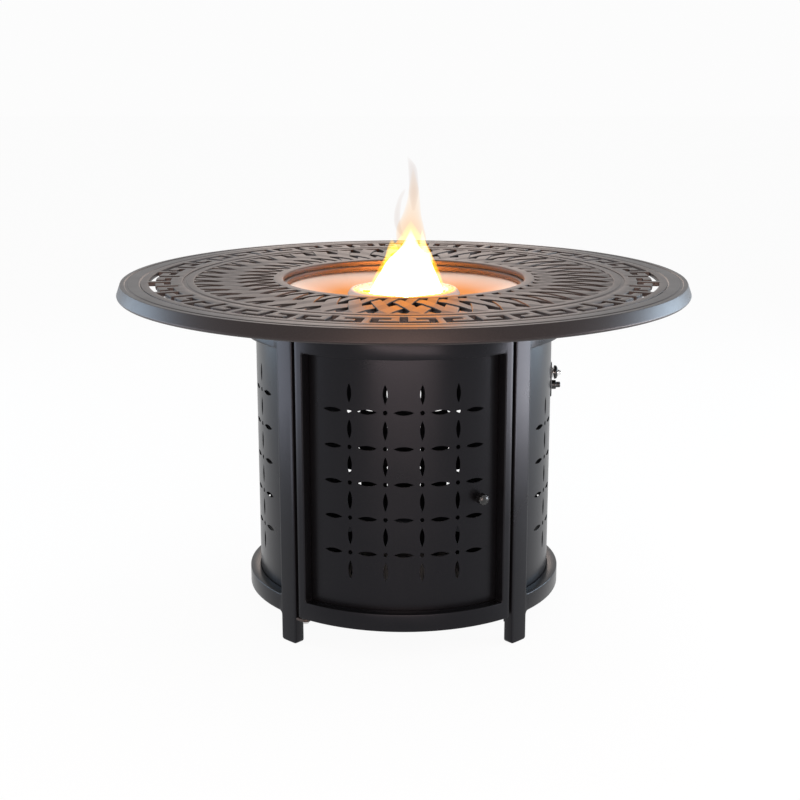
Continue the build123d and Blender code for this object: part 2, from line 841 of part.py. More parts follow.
with BuildPart() as control_knob:
    with BuildSketch(face_plane(control_azimuth, knob_back)):
        with Locations((0, knob_level)):
            RegularPolygon(knob_radius, side_count=knob_sides)
    extrude(amount=knob_skirt)
    with BuildSketch(face_plane(control_azimuth, knob_back + knob_skirt)):
        with Locations((0, knob_level)):
            RegularPolygon(knob_tip_radius, side_count=knob_sides)
            Rectangle(2 * knob_radius, knob_grip, mode=Mode.INTERSECT)
    extrude(amount=knob_height - knob_skirt)
    nut_space = valve_nut_radius + running_gap
    side_rod(nut_space, knob_level, knob_back, knob_back + knob_recess, Mode.SUBTRACT)
    side_rod(spindle_radius + fit, knob_level, knob_back, spindle_front + fit, Mode.SUBTRACT)
control_knob.part.label = "control_knob"
export_step(control_knob.part, "parts/control_knob.step")

# Igniter: threaded housing with a collar in front, nut behind the sheet and a push button
collar_front = bezel_front + igniter_collar_length
igniter_rear = bezel_front - igniter_body_length
button_rear = collar_front - igniter_collar_length + fit
button_front = collar_front + button_proud
with BuildPart() as igniter_housing:
    side_rod(igniter_collar_radius, igniter_level, bezel_front, collar_front)
    side_rod(igniter_body_radius, igniter_level, igniter_rear, bezel_front)
    bore_rear = button_rear - push_travel - push_reserve
    side_rod(button_radius + running_gap, igniter_level, bore_rear, collar_front, Mode.SUBTRACT)
igniter_housing.part.label = "igniter_housing"
export_step(igniter_housing.part, "parts/igniter_housing.step")

nut_front = strip_inner - seat_gap
with BuildPart() as igniter_nut:
    side_hex(igniter_nut_radius, igniter_level, nut_front - igniter_nut_height, nut_front)
    bore = igniter_body_radius + fit
    side_rod(bore, igniter_level, nut_front - igniter_nut_height, nut_front, Mode.SUBTRACT)
igniter_nut.part.label = "igniter_nut"
export_step(igniter_nut.part, "parts/igniter_nut.step")

with BuildPart() as igniter_button:
    side_rod(button_radius, igniter_level, button_rear, button_front - button_dome)
    side_rod(button_radius - button_dome, igniter_level, button_rear, button_front)
igniter_button.part.label = "igniter_button"
export_step(igniter_button.part, "parts/igniter_button.step")

# Gas pipe from the valve outlet, up and across to the stub under the bowl
with BuildPart() as gas_pipe:
    with BuildLine(Plane.XZ) as pipe_path:
        Polyline(
            (outlet_middle, outlet_top),
            (outlet_middle, pipe_level - pipe_bend),
            (outlet_middle - pipe_bend, pipe_level),
            (pipe_bend, pipe_level),
            (0, pipe_level + pipe_bend),
            (0, stub_bottom),
        )
    with BuildSketch(Plane.XY.offset(outlet_top)):
        with Locations((outlet_middle, 0)):
            round_outline(pipe_radius, Mode.ADD)
    sweep(path=pipe_path.line, transition=Transition.RIGHT)
gas_pipe.part.label = "gas_pipe"
export_step(gas_pipe.part, "parts/gas_pipe.step")

# Door hinge: lugs on the left leg, pins through them into the door stile, and washers
lug_lower_top = rail_bottom - hinge_space
lug_upper_bottom = rail_top + hinge_space
lug_levels = {
    "lower": (lug_lower_top - lug_thickness, lug_lower_top),
    "upper": (lug_upper_bottom, lug_upper_bottom + lug_thickness),
}
for place, (low, high) in lug_levels.items():
    with BuildPart() as hinge_lug:
        with BuildSketch(Plane.XY.offset(low)):
            Polygon(
                point_at(-opening_half, hinge_radius - lug_round),
                point_at(-opening_half, hinge_radius + lug_round),
                point_at(hinge_azimuth, hinge_radius + lug_round),
                point_at(hinge_azimuth, hinge_radius - lug_round),
                align=None,
            )
        extrude(amount=high - low)
        disc(lug_round, low, high, place=hinge_point)
        disc(hinge_pin_radius + fit, low, high, Mode.SUBTRACT, hinge_point)
    hinge_lug.part.label = f"hinge_lug_{place}"
    export_step(hinge_lug.part, f"parts/hinge_lug_{place}.step")

with BuildPart() as hinge_pin_lower:
    low = lug_levels["lower"][0]
    disc(hinge_pin_head, low - hinge_pin_head_height, low, place=hinge_point)
    round_rod(hinge_pin_radius, low, rail_bottom + hinge_pin_engage, hinge_point)
hinge_pin_lower.part.label = "hinge_pin_lower"
export_step(hinge_pin_lower.part, "parts/hinge_pin_lower.step")

with BuildPart() as hinge_pin_upper:
    high = lug_levels["upper"][1]
    disc(hinge_pin_head, high, high + hinge_pin_head_height, place=hinge_point)
    round_rod(hinge_pin_radius, rail_top - hinge_pin_engage, high, hinge_point)
hinge_pin_upper.part.label = "hinge_pin_upper"
export_step(hinge_pin_upper.part, "parts/hinge_pin_upper.step")

with BuildPart() as hinge_washers:
    for low in (lug_lower_top, rail_top):
        disc(washer_radius, low + fit, low + hinge_space - fit, place=hinge_point)
        bore = hinge_pin_radius + fit
        disc(bore, low + fit, low + hinge_space - fit, Mode.SUBTRACT, hinge_point)
hinge_washers.part.label = "hinge_washers"
export_step(hinge_washers.part, "parts/hinge_washers.step")

# Door knob with a fluted grip, fixed to the door sheet beside the last column of petals
knob_face = face_plane(door_knob_turn, strip_outer + seat_gap)
grip_points = []
for step in range(2 * door_knob_flutes):
    reach = door_knob_radius - door_knob_flute * (step % 2)
    grip_points.append(polar_point(reach, math.pi * step / door_knob_flutes))
with BuildPart() as door_knob:
    with BuildSketch(knob_face):
        with Locations(door_knob_place):
            round_outline(door_knob_neck, Mode.ADD)
    extrude(amount=door_knob_neck_length)
    with BuildSketch(knob_face.offset(door_knob_neck_length)):
        with Locations(door_knob_place):
            Polygon(*grip_points, align=None)
    extrude(amount=door_knob_length)
    with BuildSketch(knob_face.offset(door_knob_neck_length + door_knob_length)):
        with Locations(door_knob_place):
            round_outline(door_knob_radius - 2 * door_knob_flute, Mode.ADD)
    extrude(amount=door_knob_dome)
door_knob.part.label = "door_knob"
export_step(door_knob.part, "parts/door_knob.step")

# Magnetic catch: strike plate behind the door sheet, magnet, and its bracket on the right leg
catch_low = catch_level - catch_height / 2
catch_high = catch_level + catch_height / 2
catch_end = narrow_half
catch_start = catch_end - span(catch_width, sheet_inner)
catch_middle = (catch_start + catch_end) / 2
strike_face = strip_inner - seat_gap
magnet_face = strike_face - catch_sheet - running_gap
magnet_back = magnet_face - magnet_depth
with BuildPart() as strike_plate:
    plate(catch_middle, strike_face, catch_width, catch_sheet, catch_low, catch_high)
strike_plate.part.label = "strike_plate"
export_step(strike_plate.part, "parts/strike_plate.step")

with BuildPart() as magnet_catch:
    plate(catch_middle, magnet_face, catch_width, magnet_depth, catch_low, catch_high)
magnet_catch.part.label = "magnet_catch"
export_step(magnet_catch.part, "parts/magnet_catch.step")

bracket_start = leg_azimuth - leg_half
bracket_end = leg_azimuth + leg_half / 2
bracket_back = magnet_back - seat_gap
bracket_web = span(catch_sheet, frame_inner)
bracket_points = [
    point_at(catch_start, bracket_back),
    point_at(bracket_start, bracket_back),
    point_at(bracket_start, sheet_outer),
    point_at(bracket_end, sheet_outer),
    point_at(bracket_end, sheet_outer - catch_sheet),
    point_at(bracket_start + bracket_web, sheet_outer - catch_sheet),
    point_at(bracket_start + bracket_web, bracket_back - catch_sheet),
    point_at(catch_start, bracket_back - catch_sheet),
]
with BuildPart() as catch_bracket:
    with BuildSketch(Plane.XY.offset(catch_low)):
        Polygon(*bracket_points, align=None)
    extrude(amount=catch_height)
catch_bracket.part.label = "catch_bracket"
export_step(catch_bracket.part, "parts/catch_bracket.step")
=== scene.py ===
import json
from math import asin, cos, degrees, exp, pi, radians, sin, tan

import bmesh
import bpy
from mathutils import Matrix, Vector


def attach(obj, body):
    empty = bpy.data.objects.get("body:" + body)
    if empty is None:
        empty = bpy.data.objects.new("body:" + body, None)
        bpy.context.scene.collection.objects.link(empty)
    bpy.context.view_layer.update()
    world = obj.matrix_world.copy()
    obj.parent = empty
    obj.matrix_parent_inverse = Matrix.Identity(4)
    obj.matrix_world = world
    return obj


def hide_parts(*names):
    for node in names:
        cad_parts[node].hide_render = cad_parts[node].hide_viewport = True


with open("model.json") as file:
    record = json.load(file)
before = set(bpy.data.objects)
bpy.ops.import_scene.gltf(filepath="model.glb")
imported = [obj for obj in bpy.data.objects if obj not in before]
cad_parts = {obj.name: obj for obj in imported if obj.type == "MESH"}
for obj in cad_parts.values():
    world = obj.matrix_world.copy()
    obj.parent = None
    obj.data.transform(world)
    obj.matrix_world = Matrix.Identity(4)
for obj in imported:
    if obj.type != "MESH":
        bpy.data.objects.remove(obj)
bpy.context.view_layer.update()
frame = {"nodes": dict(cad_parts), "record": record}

# Sizes in millimetres and angles in degrees, the same as in the solids
table_height = 646.0
plate_depth = 8.0
drum_radius = 299.6
frame_depth = 20.0
sheet_outer = 279.35
sheet_depth = 1.5
deck_bottom = 621.5
deck_top = 624.5
rail_bottom = 54.0
window_bottom = 87.0
window_top = 548.0
rail_top = 581.0
leg_azimuth = 45.0
leg_half = 3.825
leg_turns = [leg_azimuth + 90 * corner for corner in range(4)]
opening_half = 41.175
door_half = 39.836
window_half = 36.585
sheet_bottom = 79.0
sheet_top = 556.0
wide_half = 42.82
narrow_half = 38.23
petal_pitch = 64.9
pattern_middle = 321.0
window_corner = 5.0
knob_level = 462.0
igniter_level = 437.5

# Distance from the middle at which flat pieces sit on the curved sheets
flat_seat = 278.954

# Woven lattice: pitch between strips, and the rows of crossings on a growing spiral
lattice_count = 44
half_pitch = 180 / lattice_count
row_growth = 0.2015
outer_row = 362.0
strip_share = 0.55
weave_dip = 2.0

# Photograph frame in pixels, and the camera that was fitted to it
image_size = 800
focal_pixels = 1471.62
centre_shift = 3.86
camera_place = (0, -2.746, 1.0721)
camera_pitch = 0.23768

# Meshes: edges sharper than the crease stay crisp, and corners that are almost straight aren't rounded
crease = 38
straight_corner = 176
longest_rounding = 0.49
bluntest_mitre = 0.35
along_x = (1, 0, 0)
along_y = (0, 1, 0)
along_z = (0, 0, 1)


def metres(point):
    """A point in millimetres, as a vector in metres."""
    return Vector(point) / 1000


def polar(azimuth, radius, level=0):
    """Point at an azimuth in degrees from the front, a radius and a level."""
    turn = radians(azimuth)
    return (radius * sin(turn), -radius * cos(turn), level)


def merged(name, solids, sharp):
    """Mesh of slabs in metres and of (points, faces) in millimetres, smooth apart from sharp edges."""
    whole = bmesh.new()
    for solid in solids:
        if isinstance(solid, bmesh.types.BMesh):
            part = bpy.data.meshes.new("part")
            solid.to_mesh(part)
            solid.free()
            whole.from_mesh(part)
            bpy.data.meshes.remove(part)
            continue
        points, faces = solid
        corners = [whole.verts.new(metres(point)) for point in points]
        for face in faces:
            whole.faces.new([corners[index] for index in face])
    bmesh.ops.recalc_face_normals(whole, faces=whole.faces[:])
    mesh = bpy.data.meshes.new(name)
    whole.to_mesh(mesh)
    whole.free()
    mesh.polygons.foreach_set("use_smooth", [True] * len(mesh.polygons))
    mesh.set_sharp_from_angle(angle=radians(sharp))
    return mesh


def new_object(name, data):
    """Object that shows its data, added to the scene."""
    made = bpy.data.objects.new(name, data)
    bpy.context.scene.collection.objects.link(made)
    return made


def piece(name, solids, material, node=None, body="base", sharp=crease):
    """Piece of one or more solids that rides on a body and may stand for a node."""
    made = new_object(name, merged(name, solids, sharp))
    made.data.materials.append(material)
    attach(made, body)
    if node:
        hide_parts(node)


def corner_curve(start, corner, end, steps):
    """Points of a smooth curve from start to end that bends towards a corner."""
    curve = []
    for step in range(steps + 1):
        share = step / steps
        curve.append(tuple(start.lerp(corner, share).lerp(corner.lerp(end, share), share)))
    return curve


def rounded(points, radii, steps=4):
    """Closed outline with its corners rounded; radii is one number or one per corner."""
    count = len(points)
    if not isinstance(radii, (list, tuple)):
        radii = [radii] * count
    outline = []
    for index in range(count):
        corner = Vector(points[index])
        toward_before = Vector(points[index - 1]) - corner
        toward_after = Vector(points[(index + 1) % count]) - corner
        room = min(toward_before.length, toward_after.length) * longest_rounding
        toward_before.normalize()
        toward_after.normalize()
        opening = toward_before.angle(toward_after)
        if radii[index] <= 0 or opening > radians(straight_corner):
            outline.append(tuple(corner))
            continue
        reach = min(radii[index] / tan(opening / 2), room)
        outline += corner_curve(corner + toward_before * reach, corner, corner + toward_after * reach, steps)
    return outline


def lofted(sections, closed=False):
    """Points and faces of a solid through sections of equal length; closed joins the last to the first."""
    width = len(sections[0])
    points = [point for section in sections for point in section]
    faces = []
    for row in range(len(sections) if closed else len(sections) - 1):
        near = row * width
        far = (row + 1) % len(sections) * width
        for side in range(width):
            following = (side + 1) % width
            faces.append((near + side, near + following, far + following, far + side))
    if not closed:
        faces.append(tuple(range(width)))
        faces.append(tuple(range(len(points) - width, len(points))))
    return points, faces


def lathe(outline, sides=192):
    """Points and faces of a ring turned about the upright axis from a closed (radius, level) outline."""
    rings = []
    for radius, level in outline:
        rings.append([polar(360 * side / sides, radius, level) for side in range(sides)])
    return lofted(rings, closed=True)


def inset_loop(loop, inset):
    """Closed outline moved to its left by a distance, with mitred corners."""
    moved = []
    count = len(loop)
    for index in range(count):
        before = Vector(loop[index]) - Vector(loop[index - 1])
        after = Vector(loop[(index + 1) % count]) - Vector(loop[index])
        before.normalize()
        after.normalize()
        left_before = before.orthogonal()
        left_after = after.orthogonal()
        blunt = max(1 + left_before.dot(left_after), bluntest_mitre)
        shift = (left_before + left_after) * (inset / blunt)
        moved.append((loop[index][0] + shift.x, loop[index][1] + shift.y))
    return moved


def counter_clockwise(loop):
    """The same outline, turned so that it runs counter-clockwise."""
    area = 0
    for index in range(len(loop)):
        area += loop[index - 1][0] * loop[index][1] - loop[index][0] * loop[index - 1][1]
    return loop if area > 0 else loop[::-1]


def slab(outer, holes, depth, edge, steps=2):
    """Working mesh of a plate with holes, its front at depth 0, with rounded edges."""
    work = bmesh.new()
    levels = []
    for step in range(steps + 1):
        turn = pi / 2 * step / steps
        levels.append((edge * (1 - sin(turn)), edge * (1 - cos(turn))))
    levels += [(inset, depth - level) for inset, level in reversed(levels)]
    loops = [counter_clockwise(outer)]
    loops += [counter_clockwise(hole)[::-1] for hole in holes]
    front = []
    back = []
    for loop in loops:
        rows = []
        for inset, level in levels:
            moved = inset_loop(loop, inset)
            rows.append([work.verts.new((x, y, level)) for x, y in moved])
        for upper, lower in zip(rows, rows[1:]):
            for index in range(len(loop)):
                work.faces.new((upper[index - 1], upper[index], lower[index], lower[index - 1]))
        for index in range(len(loop)):
            front.append(work.edges.get((rows[0][index - 1], rows[0][index])))
            back.append(work.edges.get((rows[-1][index - 1], rows[-1][index])))
    bmesh.ops.triangle_fill(work, use_beauty=True, edges=front)
    bmesh.ops.triangle_fill(work, use_beauty=True, edges=back)
    return work


def bent_round(work, azimuth, radius, pitch=7.0):
    """Bend a slab round the drum: its X follows the arc, its Y is the level, its front faces out."""
    lowest = min(vertex.co.x for vertex in work.verts)
    highest = max(vertex.co.x for vertex in work.verts)
    cuts = int((highest - lowest) / pitch)
    for cut in range(1, cuts):
        place = lowest + (highest - lowest) * cut / cuts
        everything = work.verts[:] + work.edges[:] + work.faces[:]
        bmesh.ops.bisect_plane(work, geom=everything, dist=1e-4, plane_co=(place, 0, 0), plane_no=along_x)
    for vertex in work.verts:
        turn = azimuth + degrees(vertex.co.x / radius)
        vertex.co = metres(polar(turn, radius - vertex.co.z, vertex.co.y))
    return work


def laid_flat(work, level):
    """Lay a slab down with its front upwards at a level."""
    for vertex in work.verts:
        vertex.co = metres((vertex.co.x, vertex.co.y, level - vertex.co.z))
    return work


def placed(work, origin, right, up):
    """Stand a slab at a point: its X runs right, its Y runs up and its front faces outward."""
    side = Vector(right)
    rise = Vector(up)
    outward = side.cross(rise)
    for vertex in work.verts:
        across, along, depth = vertex.co
        vertex.co = metres(Vector(origin) + side * across + rise * along - outward * depth)
    return work


def circle(radius, sides, place=(0, 0)):
    """Round outline about a point."""
    outline = []
    for side in range(sides):
        turn = 2 * pi * side / sides
        outline.append((place[0] + radius * cos(turn), place[1] + radius * sin(turn)))
    return outline


def span(half, low, high):
    """Corners of an upright rectangle that reaches as far to the left as to the right."""
    return [(-half, low), (half, low), (half, high), (-half, high)]


def rectangle(width, height, corner, place=(0, 0)):
    """Rounded rectangle about a point."""
    points = []
    for across, along in span(width / 2, -height / 2, height / 2):
        points.append((place[0] + across, place[1] + along))
    return rounded(points, corner)


def turned(outline, place=(0, 0, 0), axis=along_z, sides=32):
    """Points and faces of a solid turned about an axis from (radius, distance) points."""
    direction = Vector(axis).normalized()
    right = direction.orthogonal().normalized()
    up = direction.cross(right)
    points = []
    rows = []
    for radius, distance in outline:
        centre = Vector(place) + direction * distance
        if radius == 0:
            rows.append([len(points)] * sides)
            points.append(tuple(centre))
            continue
        rows.append(list(range(len(points), len(points) + sides)))
        for side in range(sides):
            turn = 2 * pi * side / sides
            points.append(tuple(centre + (right * cos(turn) + up * sin(turn)) * radius))
    pairs = list(zip(rows, rows[1:]))
    if outline[0][0] > 0:
        pairs.append((rows[-1], rows[0]))
    faces = []
    for near, far in pairs:
        for side in range(sides):
            following = (side + 1) % sides
            corners = (near[side], near[following], far[following], far[side])
            faces.append(tuple(dict.fromkeys(corners)))
    return points, faces


def cupped(bore, radius, floor, top, foot):
    """Outline of a turned piece with a round hole down to a floor."""
    return [(0, floor), (bore, floor), (bore, top), (radius, top), (radius, foot), (0, foot)]


def screw(place, axis, radius, height):
    """Domed screw head with a round socket; its place is under the head."""
    outline = cupped(radius * 0.42, radius, height * 0.45, height, 0)
    return turned(rounded(outline, [0, 0, 0.12 * radius, 0.7 * height, 0, 0]), place, axis, sides=24)


def rod(radius, start, end, edge, place, axis=along_z, sides=32, bore=0):
    """Round rod with softened ends, or a sleeve where it has a bore."""
    outline = [(bore, start), (radius, start), (radius, end), (bore, end)]
    inside = edge if bore else 0
    return turned(rounded(outline, [inside, edge, edge, inside]), place, axis, sides)


def set_inputs(tree, node, inputs):
    """Set a node's inputs to numbers and colours, or link them to sockets."""
    for name, value in inputs.items():
        if isinstance(value, bpy.types.NodeSocket):
            tree.links.new(value, node.inputs[name])
        else:
            node.inputs[name].default_value = value


def new_node(tree, kind, inputs):
    """New shader node of a kind, with its inputs."""
    node = tree.nodes.new("ShaderNode" + kind)
    set_inputs(tree, node, inputs)
    return node


def arithmetic(tree, operation, first, second):
    """Result of an operation on two inputs, each a socket or a number."""
    node = new_node(tree, "Math", {0: first, 1: second})
    node.operation = operation
    return node.outputs[0]


def shader(name, colour, metallic, roughness):
    """New material with a surface shader; returns the material, its nodes and the shader."""
    material = bpy.data.materials.new(name)
    material.use_nodes = True
    tree = material.node_tree
    surface = tree.nodes["Principled BSDF"]
    set_inputs(tree, surface, {"Base Color": (*colour, 1), "Metallic": metallic, "Roughness": roughness})
    return material, tree, surface


def noise(tree, scale, detail, stretch=(1, 1, 1)):
    """Noise in the part's own frame; returns its value socket."""
    place = new_node(tree, "TexCoord", {})
    mapping = new_node(tree, "Mapping", {"Vector": place.outputs["Object"], "Scale": stretch})
    inputs = {"Vector": mapping.outputs["Vector"], "Scale": scale, "Detail": detail}
    return new_node(tree, "TexNoise", inputs).outputs["Fac"]


def coloured(tree, surface, value, stops):
    """Colour of a surface from a ramp over a value; stops are (place, colour) pairs."""
    node = new_node(tree, "ValToRGB", {"Fac": value})
    for element, (place, colour) in zip(node.color_ramp.elements, stops):
        element.position = place
        element.color = (*colour, 1)
    set_inputs(tree, surface, {"Base Color": node.outputs["Color"]})


def stained(colour):
    """Colour stops for faint darker clouds in bare metal."""
    return [(0.35, tuple(0.9 * part for part in colour)), (0.65, colour)]


def spread(tree, value, low, high):
    """Value from 0 to 1 mapped to a range."""
    return new_node(tree, "MapRange", {"Value": value, "To Min": low, "To Max": high}).outputs["Result"]


def uneven_gloss(tree, surface, value, low, high):
    """Roughness of a surface that follows a value between two limits."""
    set_inputs(tree, surface, {"Roughness": spread(tree, value, low, high)})


def bump(tree, surface, value, strength, distance):
    """Fine relief on a surface from a value."""
    node = new_node(tree, "Bump", {"Height": value, "Strength": strength, "Distance": distance})
    set_inputs(tree, surface, {"Normal": node.outputs["Normal"]})


def powder_coat(name, dark, light, roughness, sheen, level):
    """Dark powder coat: fine orange peel, faint flecks and slightly uneven gloss."""
    material, tree, surface = shader(name, dark, 0, roughness)
    set_inputs(tree, surface, {"Specular IOR Level": level, "Specular Tint": (*sheen, 1)})
    flecks = noise(tree, scale=650, detail=3)
    coloured(tree, surface, flecks, [(0.42, dark), (0.7, light)])
    clouds = noise(tree, scale=14, detail=3)
    uneven_gloss(tree, surface, clouds, roughness - 0.05, roughness + 0.06)
    peel = noise(tree, scale=420, detail=2)
    bump(tree, surface, peel, strength=0.035, distance=0.0004)
    return material


def brushed_metal(name, colour, roughness, stretch):
    """Bare metal with fine drawn lines along one direction."""
    material, tree, surface = shader(name, colour, 1, roughness)
    lines = noise(tree, scale=260, detail=4, stretch=stretch)
    uneven_gloss(tree, surface, lines, roughness - 0.07, roughness + 0.1)
    bump(tree, surface, lines, strength=0.08, distance=0.0002)
    clouds = noise(tree, scale=9, detail=3)
    coloured(tree, surface, clouds, stained(colour))
    return material


def spun_metal(name, colour, roughness, metallic=1, heat_tint_and_glow=None):
    """Bare metal with fine rings about the upright axis; the last argument is its colour near the burner, a
    heat tint with painted orange glow of the flame.
    """
    material, tree, surface = shader(name, colour, metallic, roughness)
    around = new_node(tree, "Tangent", {})
    around.direction_type = "RADIAL"
    around.axis = "Z"
    set_inputs(tree, surface, {"Anisotropic": 0.6, "Tangent": around.outputs["Tangent"]})
    place = new_node(tree, "TexCoord", {})
    axes = new_node(tree, "SeparateXYZ", {"Vector": place.outputs["Object"]})
    flat = new_node(tree, "CombineXYZ", {"X": axes.outputs["X"], "Y": axes.outputs["Y"]})
    length = new_node(tree, "VectorMath", {0: flat.outputs["Vector"]})
    length.operation = "LENGTH"
    reach = length.outputs["Value"]
    rings = new_node(tree, "TexNoise", {"Scale": 700, "Detail": 3})
    rings.noise_dimensions = "1D"
    set_inputs(tree, rings, {"W": reach})
    uneven_gloss(tree, surface, rings.outputs["Fac"], roughness - 0.06, roughness + 0.08)
    clouds = noise(tree, scale=7, detail=3)
    # Near the axis the colour turns to heat tint with painted orange glow of the flame
    if heat_tint_and_glow:
        wander = spread(tree, clouds, -0.015, 0.015)
        coloured(tree, surface, arithmetic(tree, "ADD", reach, wander), [(0.15, heat_tint_and_glow), (0.228, colour)])
    else:
        coloured(tree, surface, clouds, stained(colour))
    return material


def moulded(name, colour, roughness):
    """Moulded plastic, glaze or cast iron with a fine grain."""
    material, tree, surface = shader(name, colour, 0, roughness)
    grain = noise(tree, scale=1500, detail=2)
    bump(tree, surface, grain, strength=0.15, distance=0.0002)
    uneven_gloss(tree, surface, grain, roughness - 0.05, roughness + 0.08)
    return material


# Coats of the cast top, its rim, and the frames and sheets of the drum
cast_coat = powder_coat(
    "cast_coat", dark=(0.008, 0.0071, 0.007), light=(0.016, 0.0135, 0.0124),
    roughness=0.44, sheen=(1.0, 0.77, 0.71), level=0.6,
)
# Rim: a darker copy of the top's coat with a cooler sheen, painted shade for how light falls on the rim
rim_coat_shaded = powder_coat(
    "rim_coat_shaded", dark=(0.006, 0.0056, 0.0058), light=(0.012, 0.0105, 0.0105),
    roughness=0.4, sheen=(1.0, 0.83, 0.83), level=0.38,
)
# Frames and sheets of the drum: much darker copies of the top's coat, painted shade for the darker drum under
# the table
drum_gloss = {"roughness": 0.29, "sheen": (0.87, 0.88, 1.0), "level": 0.19}
frame_coat_shaded = powder_coat("frame_coat_shaded", (0.0025, 0.0025, 0.003), (0.005, 0.0048, 0.0052), **drum_gloss)
sheet_coat_shaded = powder_coat("sheet_coat_shaded", (0.0024, 0.0024, 0.0029), (0.0048, 0.0046, 0.005), **drum_gloss)

# Metals, plastics and ceramic
stainless = brushed_metal("stainless", (0.74, 0.72, 0.69), roughness=0.24, stretch=(1, 1, 9))
# Spun bowl: the orange near the burner is heat tint with painted glow of the flame
spun_steel = spun_metal("spun_steel", (0.82, 0.74, 0.68), roughness=0.34, heat_tint_and_glow=(0.8, 0.28, 0.045))
burner_steel = spun_metal("burner_steel", (0.6, 0.53, 0.5), roughness=0.42, metallic=0.6)
plated = brushed_metal("plated", (0.58, 0.58, 0.58), roughness=0.34, stretch=(1, 6, 1))
brass = brushed_metal("brass", (0.72, 0.53, 0.25), roughness=0.3, stretch=(6, 1, 1))
chrome = brushed_metal("chrome", (0.82, 0.82, 0.83), roughness=0.1, stretch=(1, 1, 1))
soot_steel = brushed_metal("soot_steel", (0.2, 0.18, 0.16), roughness=0.45, stretch=(1, 1, 1))
black_plastic = moulded("black_plastic", (0.008, 0.008, 0.008), roughness=0.38)
glazed = moulded("glazed", (0.82, 0.8, 0.74), roughness=0.25)
dark_iron = moulded("dark_iron", (0.03, 0.03, 0.032), roughness=0.6)
gloss_black = moulded("gloss_black", (0.004, 0.004, 0.0045), roughness=0.22)

# Finishes of each slot in the record; the first is for the solids that stay as they are
finishes = {
    "cast_frame": [cast_coat, rim_coat_shaded, frame_coat_shaded],
    "coated_sheet": [sheet_coat_shaded],
    "stainless": [stainless, spun_steel, burner_steel, soot_steel],
    "zinc_steel": [plated],
    "valve_brass": [brass],
    "chrome_trim": [chrome],
    "black_knob": [black_plastic, gloss_black],
    "white_ceramic": [glazed],
    "ferrite": [dark_iron],
}

# Table top: rim with its skirt, drawn as one turned section with two shallow grooves
top = table_height
plate_bottom = top - plate_depth
groove_floor = top - 1.6
line_floor = top - 1.3
skirt_foot = top - 25
top_sides = 288
rim_outline = rounded(
    [
        (484, groove_floor), (489.5, groove_floor), (491.5, top), (511.5, top), (513, line_floor),
        (517, line_floor), (518.5, top), (526, top), (533.5, skirt_foot + 4), (530, skirt_foot),
        (526.5, skirt_foot), (521, plate_bottom), (484, plate_bottom),
    ],
    [0, 0.6, 0.8, 0.7, 0.5, 0.5, 0.7, 1.4, 4, 2, 1.5, 3, 0],
)
piece("table_rim", [lathe(rim_outline, top_sides)], rim_coat_shaded, "table_top")

# Table top: fret band with its ring of cut-outs; half of one cut-out as (radius, azimuth) corners
fret_count = 24
fret_inner = 411.5
fret_outer = 488.5
fret_half = [
    (422, 0.85), (462, 0.85), (462, 5.1), (446, 5.1), (446, 2.6), (434, 2.6), (434, 6.75), (474, 6.75),
]
arc_step = 1.0
fret_loop = fret_half + [(radius, -azimuth) for radius, azimuth in reversed(fret_half)]
fret_outline = []
for start, end in zip(fret_loop, fret_loop[1:] + fret_loop[:1]):
    steps = max(1, round(abs(end[1] - start[1]) / arc_step))
    for step in range(steps):
        share = step / steps
        radius = start[0] + (end[0] - start[0]) * share
        azimuth = start[1] + (end[1] - start[1]) * share
        fret_outline.append((radius, azimuth))
fret_holes = [circle(fret_inner, top_sides)]
for unit in range(fret_count):
    cutout = []
    for radius, azimuth in fret_outline:
        cutout.append(polar(azimuth + 360 * unit / fret_count, radius)[:2])
    fret_holes.append(rounded(cutout, 1.6, steps=2))
fret_work = slab(circle(fret_outer, top_sides), fret_holes, plate_depth, edge=1.0)
piece("table_fret", [laid_flat(fret_work, top)], cast_coat)

# Table top: ring between the fret and the lattice, with the floor of a shallow groove and a rib below
rib_foot = top - 14
ring_outline = rounded(
    [
        (391, top), (403.5, top), (405.5, groove_floor), (416, groove_floor), (416, plate_bottom),
        (405, plate_bottom), (405, rib_foot), (399, rib_foot), (399, plate_bottom), (391, plate_bottom),
    ],
    [1.2, 0.8, 0.6, 0, 0, 0, 1, 1, 0, 1.2],
)
piece("table_ring", [lathe(ring_outline, top_sides)], cast_coat)

# Table top: two families of spiral strips, cast as flat slats that lie over and under each other
strip_drop = 0.3
strip_foot = 0.57
strip_edge = 0.7
strip_hold = strip_foot / 2
strip_first = -1.96
strip_last = 0.4
strip_tuck = 0.1
strip_margin = strip_hold + 0.1
strip_crease = 5
strip_stations = []
for crossing in range(-3, 2):
    for offset in (-strip_hold, -strip_hold / 2, 0, strip_hold / 2, strip_hold, 0.5):
        station = crossing + offset
        if strip_first - strip_margin < station < strip_last + strip_margin:
            strip_stations.append(station)


def strip_sections(family, first):
    """Cross sections along one strip, slanted along the strips it crosses; family is 1 or -1."""
    over_row = (family + 1) / 2
    lip = degrees(strip_edge / outer_row) / half_pitch
    sections = []
    for station in strip_stations:
        away = abs((station - over_row + 1) % 2 - 1)
        under = max(0, min(1, (away - strip_hold) / (1 - 2 * strip_hold)))
        crest = top - strip_drop - weave_dip * under
        outline = [
            (-strip_foot, plate_bottom), (-strip_share, crest - strip_edge), (-strip_share + lip, crest),
            (strip_share - lip, crest), (strip_share, crest - strip_edge), (strip_foot, plate_bottom),
        ]
        section = []
        for side, level in outline:
            rise = station - family * side / 2
            if rise > strip_last:
                rise = strip_last + strip_tuck * (rise - strip_last)
            if rise < strip_first:
                rise = strip_first + strip_tuck * (rise - strip_first)
            radius = outer_row * exp(row_growth * rise)
            section.append(polar(first + (family * rise + side) * half_pitch, radius, level))
        sections.append(section)
    return sections


strips = []
for pair in range(lattice_count):
    for family in (-1, 1):
        strips.append(lofted(strip_sections(family, half_pitch + 2 * half_pitch * pair)))
piece("table_lattice", strips, cast_coat, sharp=strip_crease)

